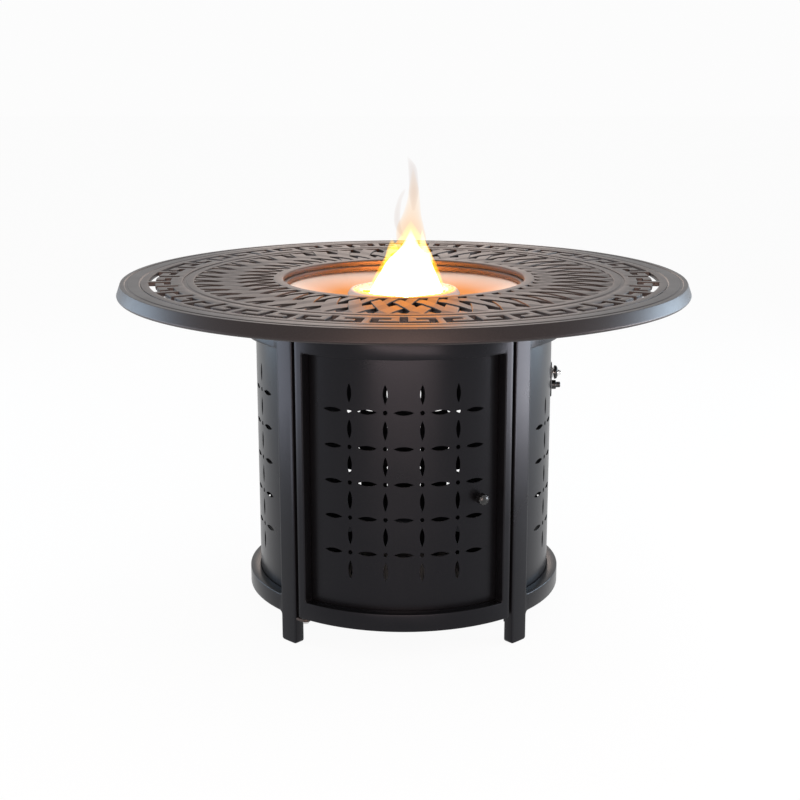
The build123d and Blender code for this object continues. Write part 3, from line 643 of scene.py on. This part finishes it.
# Table top: stepped collar around the opening
collar_foot = top - 20
lip_bottom = top - 17.6
lip_top = top - 10
step_bottom = top - 8.2
collar_outline = rounded(
    [
        (226, top), (245, top), (245, plate_bottom), (232, plate_bottom), (232, collar_foot),
        (222, collar_foot), (222, lip_bottom), (219, lip_bottom), (219, lip_top), (228.5, lip_top),
        (228.5, step_bottom), (226, step_bottom),
    ],
    [4.0, 1.2, 1, 2, 1, 0, 0, 0.5, 3.0, 0.3, 0.3, 0.4],
)
piece("table_collar", [lathe(collar_outline, sides=240)], cast_coat)

# Cast frames of the drum, with outlines in degrees and levels
leg_outer = leg_azimuth + leg_half
side_outline = [
    (-leg_outer, 0), (-opening_half, 0), (-opening_half, rail_bottom), (opening_half, rail_bottom),
    (opening_half, 0), (leg_outer, 0), (leg_outer, deck_bottom), (opening_half, deck_bottom),
    (opening_half, rail_top), (-opening_half, rail_top), (-opening_half, deck_bottom),
    (-leg_outer, deck_bottom),
]
side_corners = [6, 6, 8, 8, 6, 6, 1, 1, 8, 8, 1, 1]
side_form = (side_outline, side_corners, span(opening_half, window_bottom, window_top))
door_corner = 4
door_window = span(window_half, window_bottom, window_top)
door_form = (span(door_half, rail_bottom, rail_top), door_corner, door_window)


def drum_frame(name, azimuth, form, node, body="base"):
    """Curved cast frame from an outline, its corner radii and a window."""
    outline, corners, window = form
    outer = [(radians(turn) * drum_radius, level) for turn, level in outline]
    hole = [(radians(turn) * drum_radius, level) for turn, level in window]
    holes = [rounded(hole, window_corner, steps=5)]
    work = slab(rounded(outer, corners, steps=5), holes, frame_depth, edge=1.8, steps=3)
    piece(name, [bent_round(work, azimuth, drum_radius)], frame_coat_shaded, node, body)


drum_frame("frame_left", -90, side_form, "side_frame_left")
drum_frame("frame_right", 90, side_form, "side_frame_right")
drum_frame("frame_door", 0, door_form, "door_frame", "door")
drum_frame("frame_rear", 180, door_form, "rear_frame")

# Perforated sheets: lying petals in rows, standing petals between them and dots where they cross
petal_length = 35.0
petal_width = 8.4
petal_steps = 8
dot_radius = 4.0
lying_columns = (-2, -1, 0, 1, 2)
standing_columns = (-1.5, -0.5, 0.5, 1.5)
lowest_row = -2


def petal(place, lying):
    """Outline of a petal with two tips, lying or standing."""
    half = petal_length / 2
    rise = petal_width / 2
    bow = (half * half + rise * rise) / (2 * rise)
    sweep = asin(half / bow)
    outline = []
    for side in (1, -1):
        for step in range(petal_steps):
            turn = sweep * (1 - 2 * step / petal_steps)
            along = side * bow * sin(turn)
            across = side * (bow * cos(turn) - bow + rise)
            point = (along, across) if lying else (-across, along)
            outline.append((place[0] + point[0], place[1] + point[1]))
    return outline


def drum_sheet(name, azimuth, half, node, body="base", top_row=2, extra_holes=()):
    """Perforated sheet with rows of petals up to a row number, counted from the middle row."""
    holes = list(extra_holes)
    for row in range(lowest_row, top_row + 1):
        level = pattern_middle + petal_pitch * row
        for column in lying_columns:
            holes.append(petal((petal_pitch * column, level), True))
        for column in standing_columns:
            holes.append(circle(dot_radius, 14, (petal_pitch * column, level)))
    for row in range(lowest_row, top_row + 2):
        level = pattern_middle + petal_pitch * (row - 0.5)
        for column in standing_columns:
            holes.append(petal((petal_pitch * column, level), False))
    outline = span(radians(half) * sheet_outer, sheet_bottom, sheet_top)
    work = slab(rounded(outline, 3, steps=3), holes, sheet_depth, edge=0.3, steps=1)
    piece(name, [bent_round(work, azimuth, sheet_outer)], sheet_coat_shaded, node, body)


neck_radius = 8.0
barrel_radius = 7.0


def control_holes(clearance, sides):
    """Holes for the neck of the gas valve and the barrel of the igniter."""
    knob_hole = circle(neck_radius + clearance, sides, (0, knob_level))
    igniter_hole = circle(barrel_radius + clearance, sides, (0, igniter_level))
    return [knob_hole, igniter_hole]


drum_sheet("sheet_left", -90, wide_half, "panel_left")
drum_sheet("sheet_right", 90, wide_half, "panel_right", top_row=1, extra_holes=control_holes(0.3, 24))
drum_sheet("sheet_rear", 180, narrow_half, "panel_rear")
drum_sheet("sheet_door", 0, narrow_half, "door_panel", "door")

# Stainless bowl: flange, sloped wall and flat floor, pressed from one sheet
bowl_sheet = 1.5
bowl_floor = 594.0
bowl_flange = 626.0
bowl_under = bowl_floor - bowl_sheet
flange_under = bowl_flange - bowl_sheet
bowl_outline = rounded(
    [
        (238, bowl_flange), (219, bowl_flange), (120, bowl_floor), (10.2, bowl_floor),
        (10.2, bowl_under), (120.3, bowl_under), (219.3, flange_under), (238, flange_under),
    ],
    [0.4, 5, 14, 0, 0, 15, 6, 0.4],
    steps=6,
)
piece("bowl", [lathe(bowl_outline)], spun_steel, "burner_pan")

# Ring burner pressed from two halves, with a seam at its widest level
burner_top = 624.0
burner_foot = 604.0
seam_low = 613.0
seam_high = 615.0
burner_outline = rounded(
    [
        (106, seam_low), (106, seam_high), (100, burner_top), (84, burner_top),
        (78, seam_high), (78, seam_low), (84, burner_foot), (100, burner_foot),
    ],
    [0.8, 0.8, 6, 6, 0.8, 0.8, 6, 6],
    steps=5,
)
piece("burner", [lathe(burner_outline, sides=160)], burner_steel, "burner_ring")

# Ports in the crown of the burner
port_count = 36
port_circle = 92.0
port_rim = 2.3
port_bore = 1.5
port_lip = burner_top + 0.3
port_floor = burner_top - 1.4
port_foot = burner_top - 2
port_outline = cupped(port_bore, port_rim, port_floor, port_lip, port_foot)
port_outline = rounded(port_outline, [0, 0, 0.2, 0.3, 0, 0], steps=2)
ports = []
for port in range(port_count):
    ports.append(turned(port_outline, polar(360 * port / port_count, port_circle), sides=12))
piece("burner_ports", ports, soot_steel)

# Burner feed: threaded stub, flange, hub and two tubes to the ring, with the nut below
feed_foot = 572.0
flange_top = bowl_floor + 3
hub_top = 621.0
feed_outline = rounded(
    [
        (0, feed_foot), (9.2, feed_foot), (10, feed_foot + 1), (10, bowl_floor), (24, bowl_floor),
        (24, flange_top), (18, flange_top), (18, hub_top), (0, hub_top),
    ],
    [0, 0.3, 0.3, 0, 0.6, 0.6, 1.2, 2.5, 0],
)
feed_place = (0, 0, (seam_low + seam_high) / 2)
feed_solids = [turned(feed_outline, sides=48)]
for side in (-1, 1):
    feed_solids.append(rod(radius=6, start=10, end=77.7, edge=0.5, place=feed_place, axis=(side, 0, 0)))
piece("feed", feed_solids, stainless, "burner_feed")
locknut = slab(circle(17, sides=6), [circle(10.15, sides=32)], depth=8, edge=0.8)
piece("locknut", [laid_flat(locknut, bowl_under)], plated, "burner_locknut")

# Spark electrode with ribs on its glaze, flame sensor and their plate
ignition_azimuth = 150.0
ignition_radius = 50.0
ignition_spread = 9.2
ignition_foot = 578.5
electrode_spot = polar(ignition_azimuth - ignition_spread, ignition_radius)
sensor_spot = polar(ignition_azimuth + ignition_spread, ignition_radius)
rib_radius = 3.5
rib_waist = 2.9
rib_pitch = 4.2
electrode_outline = [(0, ignition_foot), (3.0, ignition_foot), (3.0, 586.0)]
electrode_outline += [(rib_radius, 586.5), (rib_radius, 596.0)]
for rib in range(4):
    base = 597.0 + rib_pitch * rib
    electrode_outline += [(rib_waist, base), (rib_waist, base + 1.6)]
    electrode_outline += [(rib_radius, base + 2.3), (rib_radius, base + 3.4)]
electrode_outline += [(rib_waist, 614.5), (2.2, 616.0), (0, 616.0)]
piece("electrode_glaze", [turned(electrode_outline, electrode_spot, sides=24)], glazed, "spark_electrode")
wire = rod(radius=1.2, start=615, end=619.5, edge=0.4, place=electrode_spot, sides=12)
piece("electrode_wire", [wire], plated)
sensor_outline = rounded(
    [(0, ignition_foot), (2.5, ignition_foot), (2.5, 604), (1.9, 606), (1.9, hub_top), (0, hub_top)],
    [0, 0.3, 0.5, 0.5, 1.8, 0],
)
piece("sensor", [turned(sensor_outline, sensor_spot, sides=20)], stainless, "thermocouple")
ignition_holes = [circle(3.65, 20, (-8.0, 0.64)), circle(2.65, 20, (8.0, 0.64))]
ignition_plate = placed(
    slab(rectangle(34, 14, corner=2), ignition_holes, depth=1.2, edge=0.3, steps=1),
    origin=polar(ignition_azimuth, ignition_radius, bowl_floor + 1.2),
    right=polar(ignition_azimuth + 90, 1),
    up=polar(ignition_azimuth + 180, 1),
)
piece("ignition_plate", [ignition_plate], stainless, "electrode_bracket")

# Deck ring, its screws into the legs, and the pads and bolts that hold the table top on it
deck_inner = 224.5
deck_outer = 298.6
pad_circle = 266.0
leg_circle = 289.0
deck_outline = [(deck_inner, deck_bottom), (deck_outer, deck_bottom)]
deck_outline += [(deck_outer, deck_top), (deck_inner, deck_top)]
piece("deck", [lathe(rounded(deck_outline, 0.6))], sheet_coat_shaded, "deck_ring")
pads = []
pad_bolts = []
deck_screws = []
for turn in leg_turns:
    pad = slab(rectangle(38, 20, corner=3), [], depth=plate_bottom - deck_top, edge=1.0)
    pads.append(placed(pad, polar(turn, pad_circle, plate_bottom), polar(turn + 90, 1), polar(turn + 180, 1)))
    pad_bolts.append(screw(polar(turn, pad_circle, deck_bottom), (0, 0, -1), radius=6, height=4.5))
    deck_screws.append(screw(polar(turn, leg_circle, deck_top), along_z, radius=5, height=2.6))
piece("table_pads", pads, cast_coat)
piece("table_bolts", pad_bolts, plated)
piece("deck_screws", deck_screws, plated)

# Door hinge: lugs on the left leg, domed pins and washers
hinge_azimuth = -38.21
hinge_radius = 289.6
hinge_place = (-179.133, -227.552, 0)
hinge_bore = 3.65
lug_round = 9.0
lug_steps = 16
lug_lower_top = 52.0
lug_upper_top = 588.0
lug_depth = 5.0
lug_plan = [polar(-opening_half, hinge_radius + lug_round * side)[:2] for side in (-1, 1)]
for step in range(lug_steps + 1):
    offset = polar(hinge_azimuth + 180 * step / lug_steps, lug_round)
    lug_plan.append((hinge_place[0] + offset[0], hinge_place[1] + offset[1]))
for place, level in (("lower", lug_lower_top), ("upper", lug_upper_top)):
    lug = slab(lug_plan, [circle(hinge_bore, 32, hinge_place[:2])], lug_depth, edge=0.8)
    piece(f"lug_{place}", [laid_flat(lug, level)], cast_coat, f"hinge_lug_{place}")
pin_levels = (("lower", 42.5, lug_lower_top - lug_depth, 74), ("upper", 592.5, lug_upper_top, 561))
for place, head, shoulder, tip in pin_levels:
    outline = [(0, head), (6, head), (6, shoulder), (3.5, shoulder), (3.5, tip), (0, tip)]
    pin = turned(rounded(outline, [0, 3, 0.4, 0, 0.8, 0], steps=6), hinge_place, sides=40)
    piece(f"pin_{place}", [pin], plated, f"hinge_pin_{place}")
washers = []
for low in (lug_lower_top + 0.15, rail_top + 0.15):
    washers.append(rod(8, low, low + 1.7, 0.3, hinge_place, sides=40, bore=hinge_bore))
piece("washers", washers, black_plastic, "hinge_washers")

# Door knob: fluted grip with a smooth face, a groove and a cap, as (radius, distance, flute depth) rows
door_knob_azimuth = 26.62
knob_out = Vector(polar(door_knob_azimuth, 1))
knob_right = Vector(polar(door_knob_azimuth + 90, 1))
knob_shift = 8.5
door_knob_level = 289.0
knob_origin = knob_out * flat_seat + knob_right * knob_shift + Vector((0, 0, door_knob_level))
grip_flutes = 10
grip_sides = 120
grip_rows = [
    (4.5, 0, 0), (4.5, 6.2, 0), (8.6, 6.6, 0.3), (9.8, 7.2, 1.0), (10.3, 8.4, 1.5), (10.3, 18.4, 1.5),
    (10.0, 20.0, 1.1), (9.4, 20.8, 0.5), (8.6, 21.1, 0), (7.8, 20.8, 0), (7.0, 21.0, 0), (6.0, 22.0, 0),
    (4.4, 22.7, 0), (2.2, 23.0, 0),
]
grip_sections = []
for radius, distance, depth in grip_rows:
    section = []
    for side in range(grip_sides):
        turn = 2 * pi * side / grip_sides
        dip = (0.5 - 0.5 * cos(grip_flutes * turn)) ** 2
        reach = radius - depth * dip
        offset = knob_right * (reach * cos(turn)) + Vector((0, 0, reach * sin(turn)))
        section.append(tuple(knob_origin + knob_out * distance + offset))
    grip_sections.append(section)
piece("pull_knob", [lofted(grip_sections)], gloss_black, "door_knob", "door", sharp=50)
knob_screw = screw(knob_origin - knob_out * 3.1, -knob_out, radius=4.5, height=2.6)
piece("pull_knob_screw", [knob_screw], plated, body="door")

# Controls on the right: bezel with two screws, gas knob, igniter collar and button, and their nuts
bezel_depth = 2.5
bezel_front = flat_seat + bezel_depth
control_fit = 0.15
control_middle = (knob_level + igniter_level) / 2
knob_place = (0, 0, knob_level)
igniter_place = (0, 0, igniter_level)
bezel_outline = rectangle(34, 66, 6, (0, control_middle))
bezel = slab(bezel_outline, control_holes(control_fit, 32), bezel_depth, edge=0.8, steps=3)
bezel = placed(bezel, (bezel_front, 0, 0), along_y, along_z)
bezel_reach = 29.0
bezel_screws = []
for side in (-1, 1):
    spot = (bezel_front, 0, control_middle + bezel_reach * side)
    bezel_screws.append(screw(spot, along_x, radius=2.5, height=1.2))
piece("bezel", [bezel], black_plastic, "control_bezel")
piece("bezel_screws", bezel_screws, plated)

# Gas knob: turned skirt, and a grip bar as (distance, width, height, corner) rows
knob_base = bezel_front + 5.4
skirt_outline = rounded(
    [(4.15, 4.25), (11.3, 4.25), (11.3, 0), (13, 0), (13, 2.0), (12.2, 4.6), (8.6, 6.4), (4.15, 6.4)],
    [0, 0, 0.3, 0.4, 0.8, 1.0, 1.0, 0],
)
skirt = turned(skirt_outline, (knob_base, 0, knob_level), along_x, sides=64)
piece("knob_skirt", [skirt], gloss_black, body="knob")
wing_rows = [
    (5.6, 19.0, 11.6, 4.6), (7.4, 18.8, 11.0, 4.2), (9.0, 18.4, 9.8, 3.8), (10.8, 17.8, 8.2, 3.4),
    (12.4, 17.0, 6.6, 3.0), (13.3, 16.2, 5.4, 2.5), (13.8, 15.0, 4.2, 2.0), (14.0, 13.4, 3.0, 1.4),
]
wing_sections = []
for distance, width, height, corner in wing_rows:
    outline = rectangle(width, height, corner)
    wing_sections.append([(knob_base + distance, across, knob_level + along) for across, along in outline])
piece("knob_wing", [lofted(wing_sections)], chrome, "control_knob", "knob", sharp=45)

# Igniter collar and button, turned about an axis that runs out from the middle of the drum
collar_front = bezel_front + 9.4
collar_back = bezel_front - 42
button_bore = 5.8
collar_side = rounded(
    [
        (button_bore, collar_front), (8.8, collar_front), (8.8, 283.0), (10.4, 282.4), (10.4, bezel_front),
        (barrel_radius, bezel_front), (barrel_radius, collar_back), (button_bore, collar_back),
    ],
    [0.4, 1.4, 0.6, 0.3, 0, 0, 0.6, 0.3],
)
collar = turned(collar_side, igniter_place, along_x, sides=48)
piece("igniter_collar", [collar], gloss_black, "igniter_housing")
button_back = bezel_front + control_fit
button_front = bezel_front + 17.9
button_side = [(0, button_back), (5.5, button_back), (5.5, button_front), (0, button_front)]
button = turned(rounded(button_side, [0, 0.4, 2.6, 0], steps=6), igniter_place, along_x, sides=40)
piece("push_button", [button], gloss_black, "igniter_button", "button")

# Hexagon nuts of the controls: node, radius of the part inside, level, front and depth
nut_radius = 11.0
nuts = (
    ("valve_nut", neck_radius, knob_level, bezel_front + 3, 3),
    ("igniter_nut", barrel_radius, igniter_level, 276.96, 6),
)
for node, inside, level, front, depth in nuts:
    bore = circle(inside + control_fit, 32, (0, level))
    nut = slab(circle(nut_radius, 6, (0, level)), [bore], depth, edge=0.7)
    nut = placed(nut, (front, 0, 0), along_y, along_z)
    piece(f"{node}_hex", [nut], plated, node)

# Gas valve: block with softened edges, neck, threaded inlet and outlet, and the pipe to the burner
valve_front = 265.654
inlet_start = 232.4
inlet_end = 213.654
thread_pitch = 1.7
thread_crest = 7.9
thread_root = 7.2
inlet_bore = 4.2
outlet_reach = 242.95
outlet_top = 482.0
valve_block = slab(rectangle(28, 28, 3, (0, knob_level)), [], depth=34, edge=1.2)
valve_block = placed(valve_block, (valve_front, 0, 0), along_y, along_z)
neck = rod(neck_radius, 265.0, bezel_front + 3.5, 0.5, knob_place, along_x, sides=40, bore=4.3)
inlet_outline = [(0, inlet_start), (thread_crest, inlet_start), (thread_crest, 229.0)]
for thread in range(8):
    base = 228.4 - thread_pitch * thread
    inlet_outline += [(thread_root, base), (thread_crest, base - thread_pitch / 2)]
inlet_outline += [(thread_root, 214.4), (6.4, inlet_end)]
inlet_outline += [(inlet_bore, inlet_end), (inlet_bore, 219), (0, 219)]
inlet = turned(inlet_outline, knob_place, along_x, sides=40)
outlet = rod(radius=7, start=475, end=outlet_top, edge=0.6, place=(outlet_reach, 0, 0))
piece("valve", [neck, inlet, outlet, valve_block], brass, "gas_valve")

pipe_radius = 5.0
pipe_bend = 21.0
pipe_level = 550.0
pipe_corners = [(outlet_reach, outlet_top), (outlet_reach, pipe_level), (0, pipe_level), (0, feed_foot)]
pipe_line = [pipe_corners[0]]
for index in (1, 2):
    before, corner, after = [Vector(point) for point in pipe_corners[index - 1:index + 2]]
    start = corner + (before - corner).normalized() * pipe_bend
    end = corner + (after - corner).normalized() * pipe_bend
    pipe_line += corner_curve(start, corner, end, steps=10)
pipe_line.append(pipe_corners[3])
pipe_sections = []
for index, (across, level) in enumerate(pipe_line):
    behind = Vector(pipe_line[max(index - 1, 0)])
    ahead = Vector(pipe_line[min(index + 1, len(pipe_line) - 1)])
    run = (ahead - behind).normalized()
    section = []
    for sway, deep in circle(pipe_radius, sides=24):
        section.append((across - run.y * sway, deep, level + run.x * sway))
    pipe_sections.append(section)
piece("pipe", [lofted(pipe_sections)], brass, "gas_pipe")

# Heat shield with a rolled edge, on studs with hexagon heads
shield_bottom = 530.0
shield_top = shield_bottom + 1.2
shield_outline = rounded(
    [
        (0, shield_top), (230, shield_top), (233.5, 533.5), (235.3, 532.6), (234.6, 530.6),
        (231, shield_bottom), (0, shield_bottom),
    ],
    [0, 3, 1.0, 0.6, 1, 3, 0],
)
piece("shield", [turned(shield_outline, sides=144)], plated, "heat_shield")
hanger_circle = 231.0
hangers = []
hanger_heads = []
for azimuth in (0, 120, 240):
    spot = polar(azimuth, hanger_circle)
    hangers.append(rod(radius=3, start=shield_bottom - 1, end=deck_top - 0.1, edge=0.4, place=spot, sides=20))
    head = slab(circle(6, sides=6, place=spot[:2]), [], depth=4, edge=0.5)
    hanger_heads.append(laid_flat(head, shield_bottom))
piece("hangers", hangers + hanger_heads, plated, "shield_hangers")

# Tank tray with vent holes, a raised seat and rounded stops
tray_top = 62.0
seat_top = tray_top + 1.5
seat_foot = tray_top - 0.2
tray_radius = 261.5
vent_circle = 209.0
stop_circle = 158.0
vent_holes = [circle(18, sides=36, place=polar(90 * vent, vent_circle)[:2]) for vent in range(4)]
tray = laid_flat(slab(circle(tray_radius, sides=160), vent_holes, depth=2, edge=0.6), tray_top)
seat_outline = rounded([(0, seat_top), (149, seat_top), (150, seat_foot), (0, seat_foot)], [0, 1.2, 0, 0])
piece("tray", [turned(seat_outline, sides=120), tray], sheet_coat_shaded, "base_plate")
stop_outline = rounded(span(20, tray_top, tray_top + 12), [0, 0, 5, 5])
stops = []
for turn in leg_turns:
    stop = slab(stop_outline, [], depth=2, edge=0.5)
    stops.append(placed(stop, polar(turn, stop_circle), polar(turn + 90, 1), along_z))
piece("stops", stops, sheet_coat_shaded, "tank_stops")

# Solids that stay as they are
for entry in frame["record"]["subparts"]:
    solid = frame["nodes"][entry["node"]]
    solid.data.materials.clear()
    solid.data.materials.append(finishes[entry["material_slot"]][0])


def background_rays(tree):
    """Share that is 1 for rays that show the background: to the camera, in gloss and through glass."""
    rays = new_node(tree, "LightPath", {}).outputs
    mirrored = arithmetic(tree, "MAXIMUM", rays["Is Glossy Ray"], rays["Is Transmission Ray"])
    return arithmetic(tree, "MAXIMUM", rays["Is Camera Ray"], mirrored)


# Plain pale floor, white where the camera, a gloss or glass sees it, which keeps a faint shadow
floor_size = 40.0
floor_whiteness = 0.94
floor_material, floor_tree, floor_surface = shader("floor", (0.88, 0.88, 0.88), 0, 0.9)
set_inputs(floor_tree, floor_surface, {"Specular IOR Level": 0.0})
floor_white = new_node(floor_tree, "Emission", {})
floor_share = arithmetic(floor_tree, "MULTIPLY", background_rays(floor_tree), floor_whiteness)
floor_layers = {0: floor_share, 1: floor_surface.outputs["BSDF"], 2: floor_white.outputs["Emission"]}
floor_mix = new_node(floor_tree, "MixShader", floor_layers)
set_inputs(floor_tree, floor_tree.nodes["Material Output"], {"Surface": floor_mix.outputs["Shader"]})
floor_mesh = bpy.data.meshes.new("floor")
floor_corners = [(x, y, 0) for x, y in span(floor_size / 2, -floor_size / 2, floor_size / 2)]
floor_mesh.from_pydata(floor_corners, [], [(0, 1, 2, 3)])
floor_mesh.materials.append(floor_material)
floor = new_object("floor", floor_mesh)

# White surroundings, dimmer for the soft light that they give
world_soft = 0.55
world_white = 0.975
world = bpy.data.worlds.new("studio")
world.use_nodes = True
world_tree = world.node_tree
world_gain = arithmetic(world_tree, "MULTIPLY", background_rays(world_tree), world_white - world_soft)
world_level = arithmetic(world_tree, "ADD", world_gain, world_soft)
set_inputs(world_tree, world_tree.nodes["Background"], {"Color": (1, 1, 1, 1), "Strength": world_level})
bpy.context.scene.world = world

# Soft lamps: name, place, aim, width and height in metres, power in watts and colour
lamps = (
    ("left_lamp", (-2.8, 1.05, 0.6), (0, 0, 0.55), 1.7, 1.7, 40, (0.58, 0.79, 1.0)),
    ("right_lamp", (2.8, 1.05, 0.6), (0, 0, 0.55), 1.7, 1.7, 70, (0.62, 0.82, 1.0)),
    ("left_low_lamp", (-1.5, -0.2, 0.26), (0, -0.2, 0.26), 0.7, 0.44, 5, (0.84, 0.88, 1.0)),
    ("right_low_lamp", (1.5, -0.2, 0.28), (0, -0.2, 0.28), 0.7, 0.44, 13, (0.96, 0.95, 1.0)),
    ("front_lamp", (0, -3.3, 1.75), (0, 0, 0.5), 1.6, 1.6, 33, (1.0, 0.72, 0.58)),
    ("low_lamp", (0, -2.1, 0.32), (0, 0, 0.32), 1.8, 0.42, 18, (1.0, 0.78, 0.72)),
    ("back_lamp", (0, 3.0, 1.25), (0, 0, 0.6), 1.2, 0.8, 6, (1.0, 0.78, 0.66)),
    ("top_lamp", (0, 0.6, 2.8), (0, 0, 0.6), 3.0, 3.0, 22, (1.0, 0.96, 0.92)),
)
for name, place, aim, width, height, power, colour in lamps:
    lamp = bpy.data.lights.new(name, "AREA")
    lamp.shape = "RECTANGLE"
    lamp.size = width
    lamp.size_y = height
    lamp.energy = power
    lamp.color = colour
    holder = new_object(name, lamp)
    holder.location = place
    holder.rotation_euler = (Vector(aim) - Vector(place)).to_track_quat("-Z", "Y").to_euler()

# Flame, shown for the look alone: bodies of glowing gas over the burner, each with even colour
flame_sides = 40
flame_depth = 0.85
flame_steps = 5
flame_tip = 0.3
flame_crease = 80
clear = (0.9, 0.9, 0.9)


def smooth_rows(sections):
    """Rows of numbers on smooth curves through the numbers of the sections."""
    rows = []
    last = len(sections) - 1
    for index in range(last):
        before = sections[max(index - 1, 0)]
        after = sections[min(index + 2, last)]
        for step in range(flame_steps):
            share = step / flame_steps
            row = []
            for low, near, far, high in zip(before, sections[index], sections[index + 1], after):
                bend = 2 * low - 5 * near + 4 * far - high
                twist = 3 * near - low - 3 * far + high
                row.append(near + 0.5 * share * (far - low + share * (bend + share * twist)))
            rows.append(row)
    rows.append(sections[last])
    return rows


def flame_body(name, sections, glow, strength, tint=clear, density=0.5, mirrored=False):
    """Closed body of gas through (level, middle, half width) sections; a mirrored one shows in gloss only."""
    outlines = []
    for level, middle, half in smooth_rows(sections):
        outline = circle(max(half, flame_tip), flame_sides)
        outlines.append([(middle + across, flame_depth * deep, level) for across, deep in outline])
    body = new_object(name, merged(name, [lofted(outlines)], flame_crease))
    gas = bpy.data.materials.new(name)
    gas.use_nodes = True
    tree = gas.node_tree
    output = tree.nodes["Material Output"]
    tree.nodes.remove(tree.nodes["Principled BSDF"])
    light = new_node(tree, "Emission", {"Color": (*glow, 1), "Strength": strength}).outputs["Emission"]
    if mirrored:
        set_inputs(tree, output, {"Surface": light})
    else:
        haze = new_node(tree, "VolumeAbsorption", {"Color": (*tint, 1), "Density": density})
        both = new_node(tree, "AddShader", {0: light, 1: haze.outputs["Volume"]})
        set_inputs(tree, output, {"Volume": both.outputs["Shader"]})
    body.data.materials.append(gas)
    body.visible_camera = not mirrored
    body.visible_glossy = mirrored
    body.visible_diffuse = False
    body.visible_shadow = False


flame_outline = [
    (598, 5, 62), (606, 5, 75), (632, 6, 69), (656, 8, 59), (672, 9, 51.5), (686, 10, 44),
    (700, 12, 36), (713, 13.5, 27), (726, 13.5, 18), (740, 13, 9), (752, 13, 0.4),
]
flame_heart = [
    (600, 5, 58), (606, 5, 72), (632, 6, 63), (656, 8, 51), (672, 9, 43), (684, 11, 34),
    (698, 12, 21), (712, 13, 12), (724, 13, 6), (736, 13, 0.4),
]
plume_low = [
    (690, 10, 20), (713, 14, 28), (740, 12, 25.5), (763, 15, 17.5), (788, 18, 12.4),
    (812, 18.4, 9.2), (836, 17.5, 4), (850, 17, 0.4),
]
plume_high = [(770, 18, 3), (800, 18.2, 9), (818, 18.4, 9.2), (848, 16, 8), (862, 11, 4.2), (870, 6, 0.4)]
wisp = [(722, -2, 3), (740, -11, 6), (763, -12.5, 6), (788, -8, 4.4), (803, -1.5, 3.6), (811, 2.9, 0.4)]
left_tongue = [(655, -36, 5), (680, -24, 12), (700, -21, 10), (718, -23, 0.4)]
right_tongue = [(665, 48, 6), (684, 42, 11), (705, 36, 7), (735, 34, 0.4)]
glow_body = [(636, 6, 60), (650, 6.5, 105), (690, 8, 100), (730, 10, 70), (780, 12, 36), (830, 13, 0.4)]
flame_body("flame_outline", flame_outline, (1.0, 0.42, 0.01), 30)
flame_body("flame_heart", flame_heart, (1.0, 0.85, 0.55), 130)
flame_body("flame_left", left_tongue, (1.0, 0.6, 0.02), 70)
flame_body("flame_right", right_tongue, (1.0, 0.8, 0.4), 110)
flame_body("flame_plume_low", plume_low, (1.0, 0.66, 0.2), 2.5, tint=(0.9, 0.5, 0.1), density=16)
flame_body("flame_plume_high", plume_high, (1.0, 0.9, 0.8), 0.3, tint=(0.42, 0.2, 0.12), density=17)
flame_body("flame_wisp", wisp, (1.0, 0.8, 0.6), 1.0, tint=(0.5, 0.3, 0.2), density=22)
flame_body("flame_glow", glow_body, (1.0, 0.3, 0.01), 5.5, mirrored=True)
flame_light = bpy.data.lights.new("flame_light", "POINT")
flame_light.energy = 9
flame_light.color = (1.0, 0.38, 0.09)
flame_light.shadow_soft_size = 0.006
flame_holder = new_object("flame_light", flame_light)
flame_holder.location = (0.007, 0, 0.638)

# Camera at the photograph's angle
camera_data = bpy.data.cameras.new("camera")
camera_data.sensor_width = 36.0
camera_data.lens = focal_pixels * camera_data.sensor_width / image_size
camera_data.shift_x = -centre_shift / image_size
camera = new_object("camera", camera_data)
camera.location = camera_place
camera.rotation_euler = (pi / 2 - camera_pitch, 0, 0)
bpy.context.scene.camera = camera

bpy.context.scene.view_settings.view_transform = "Standard"
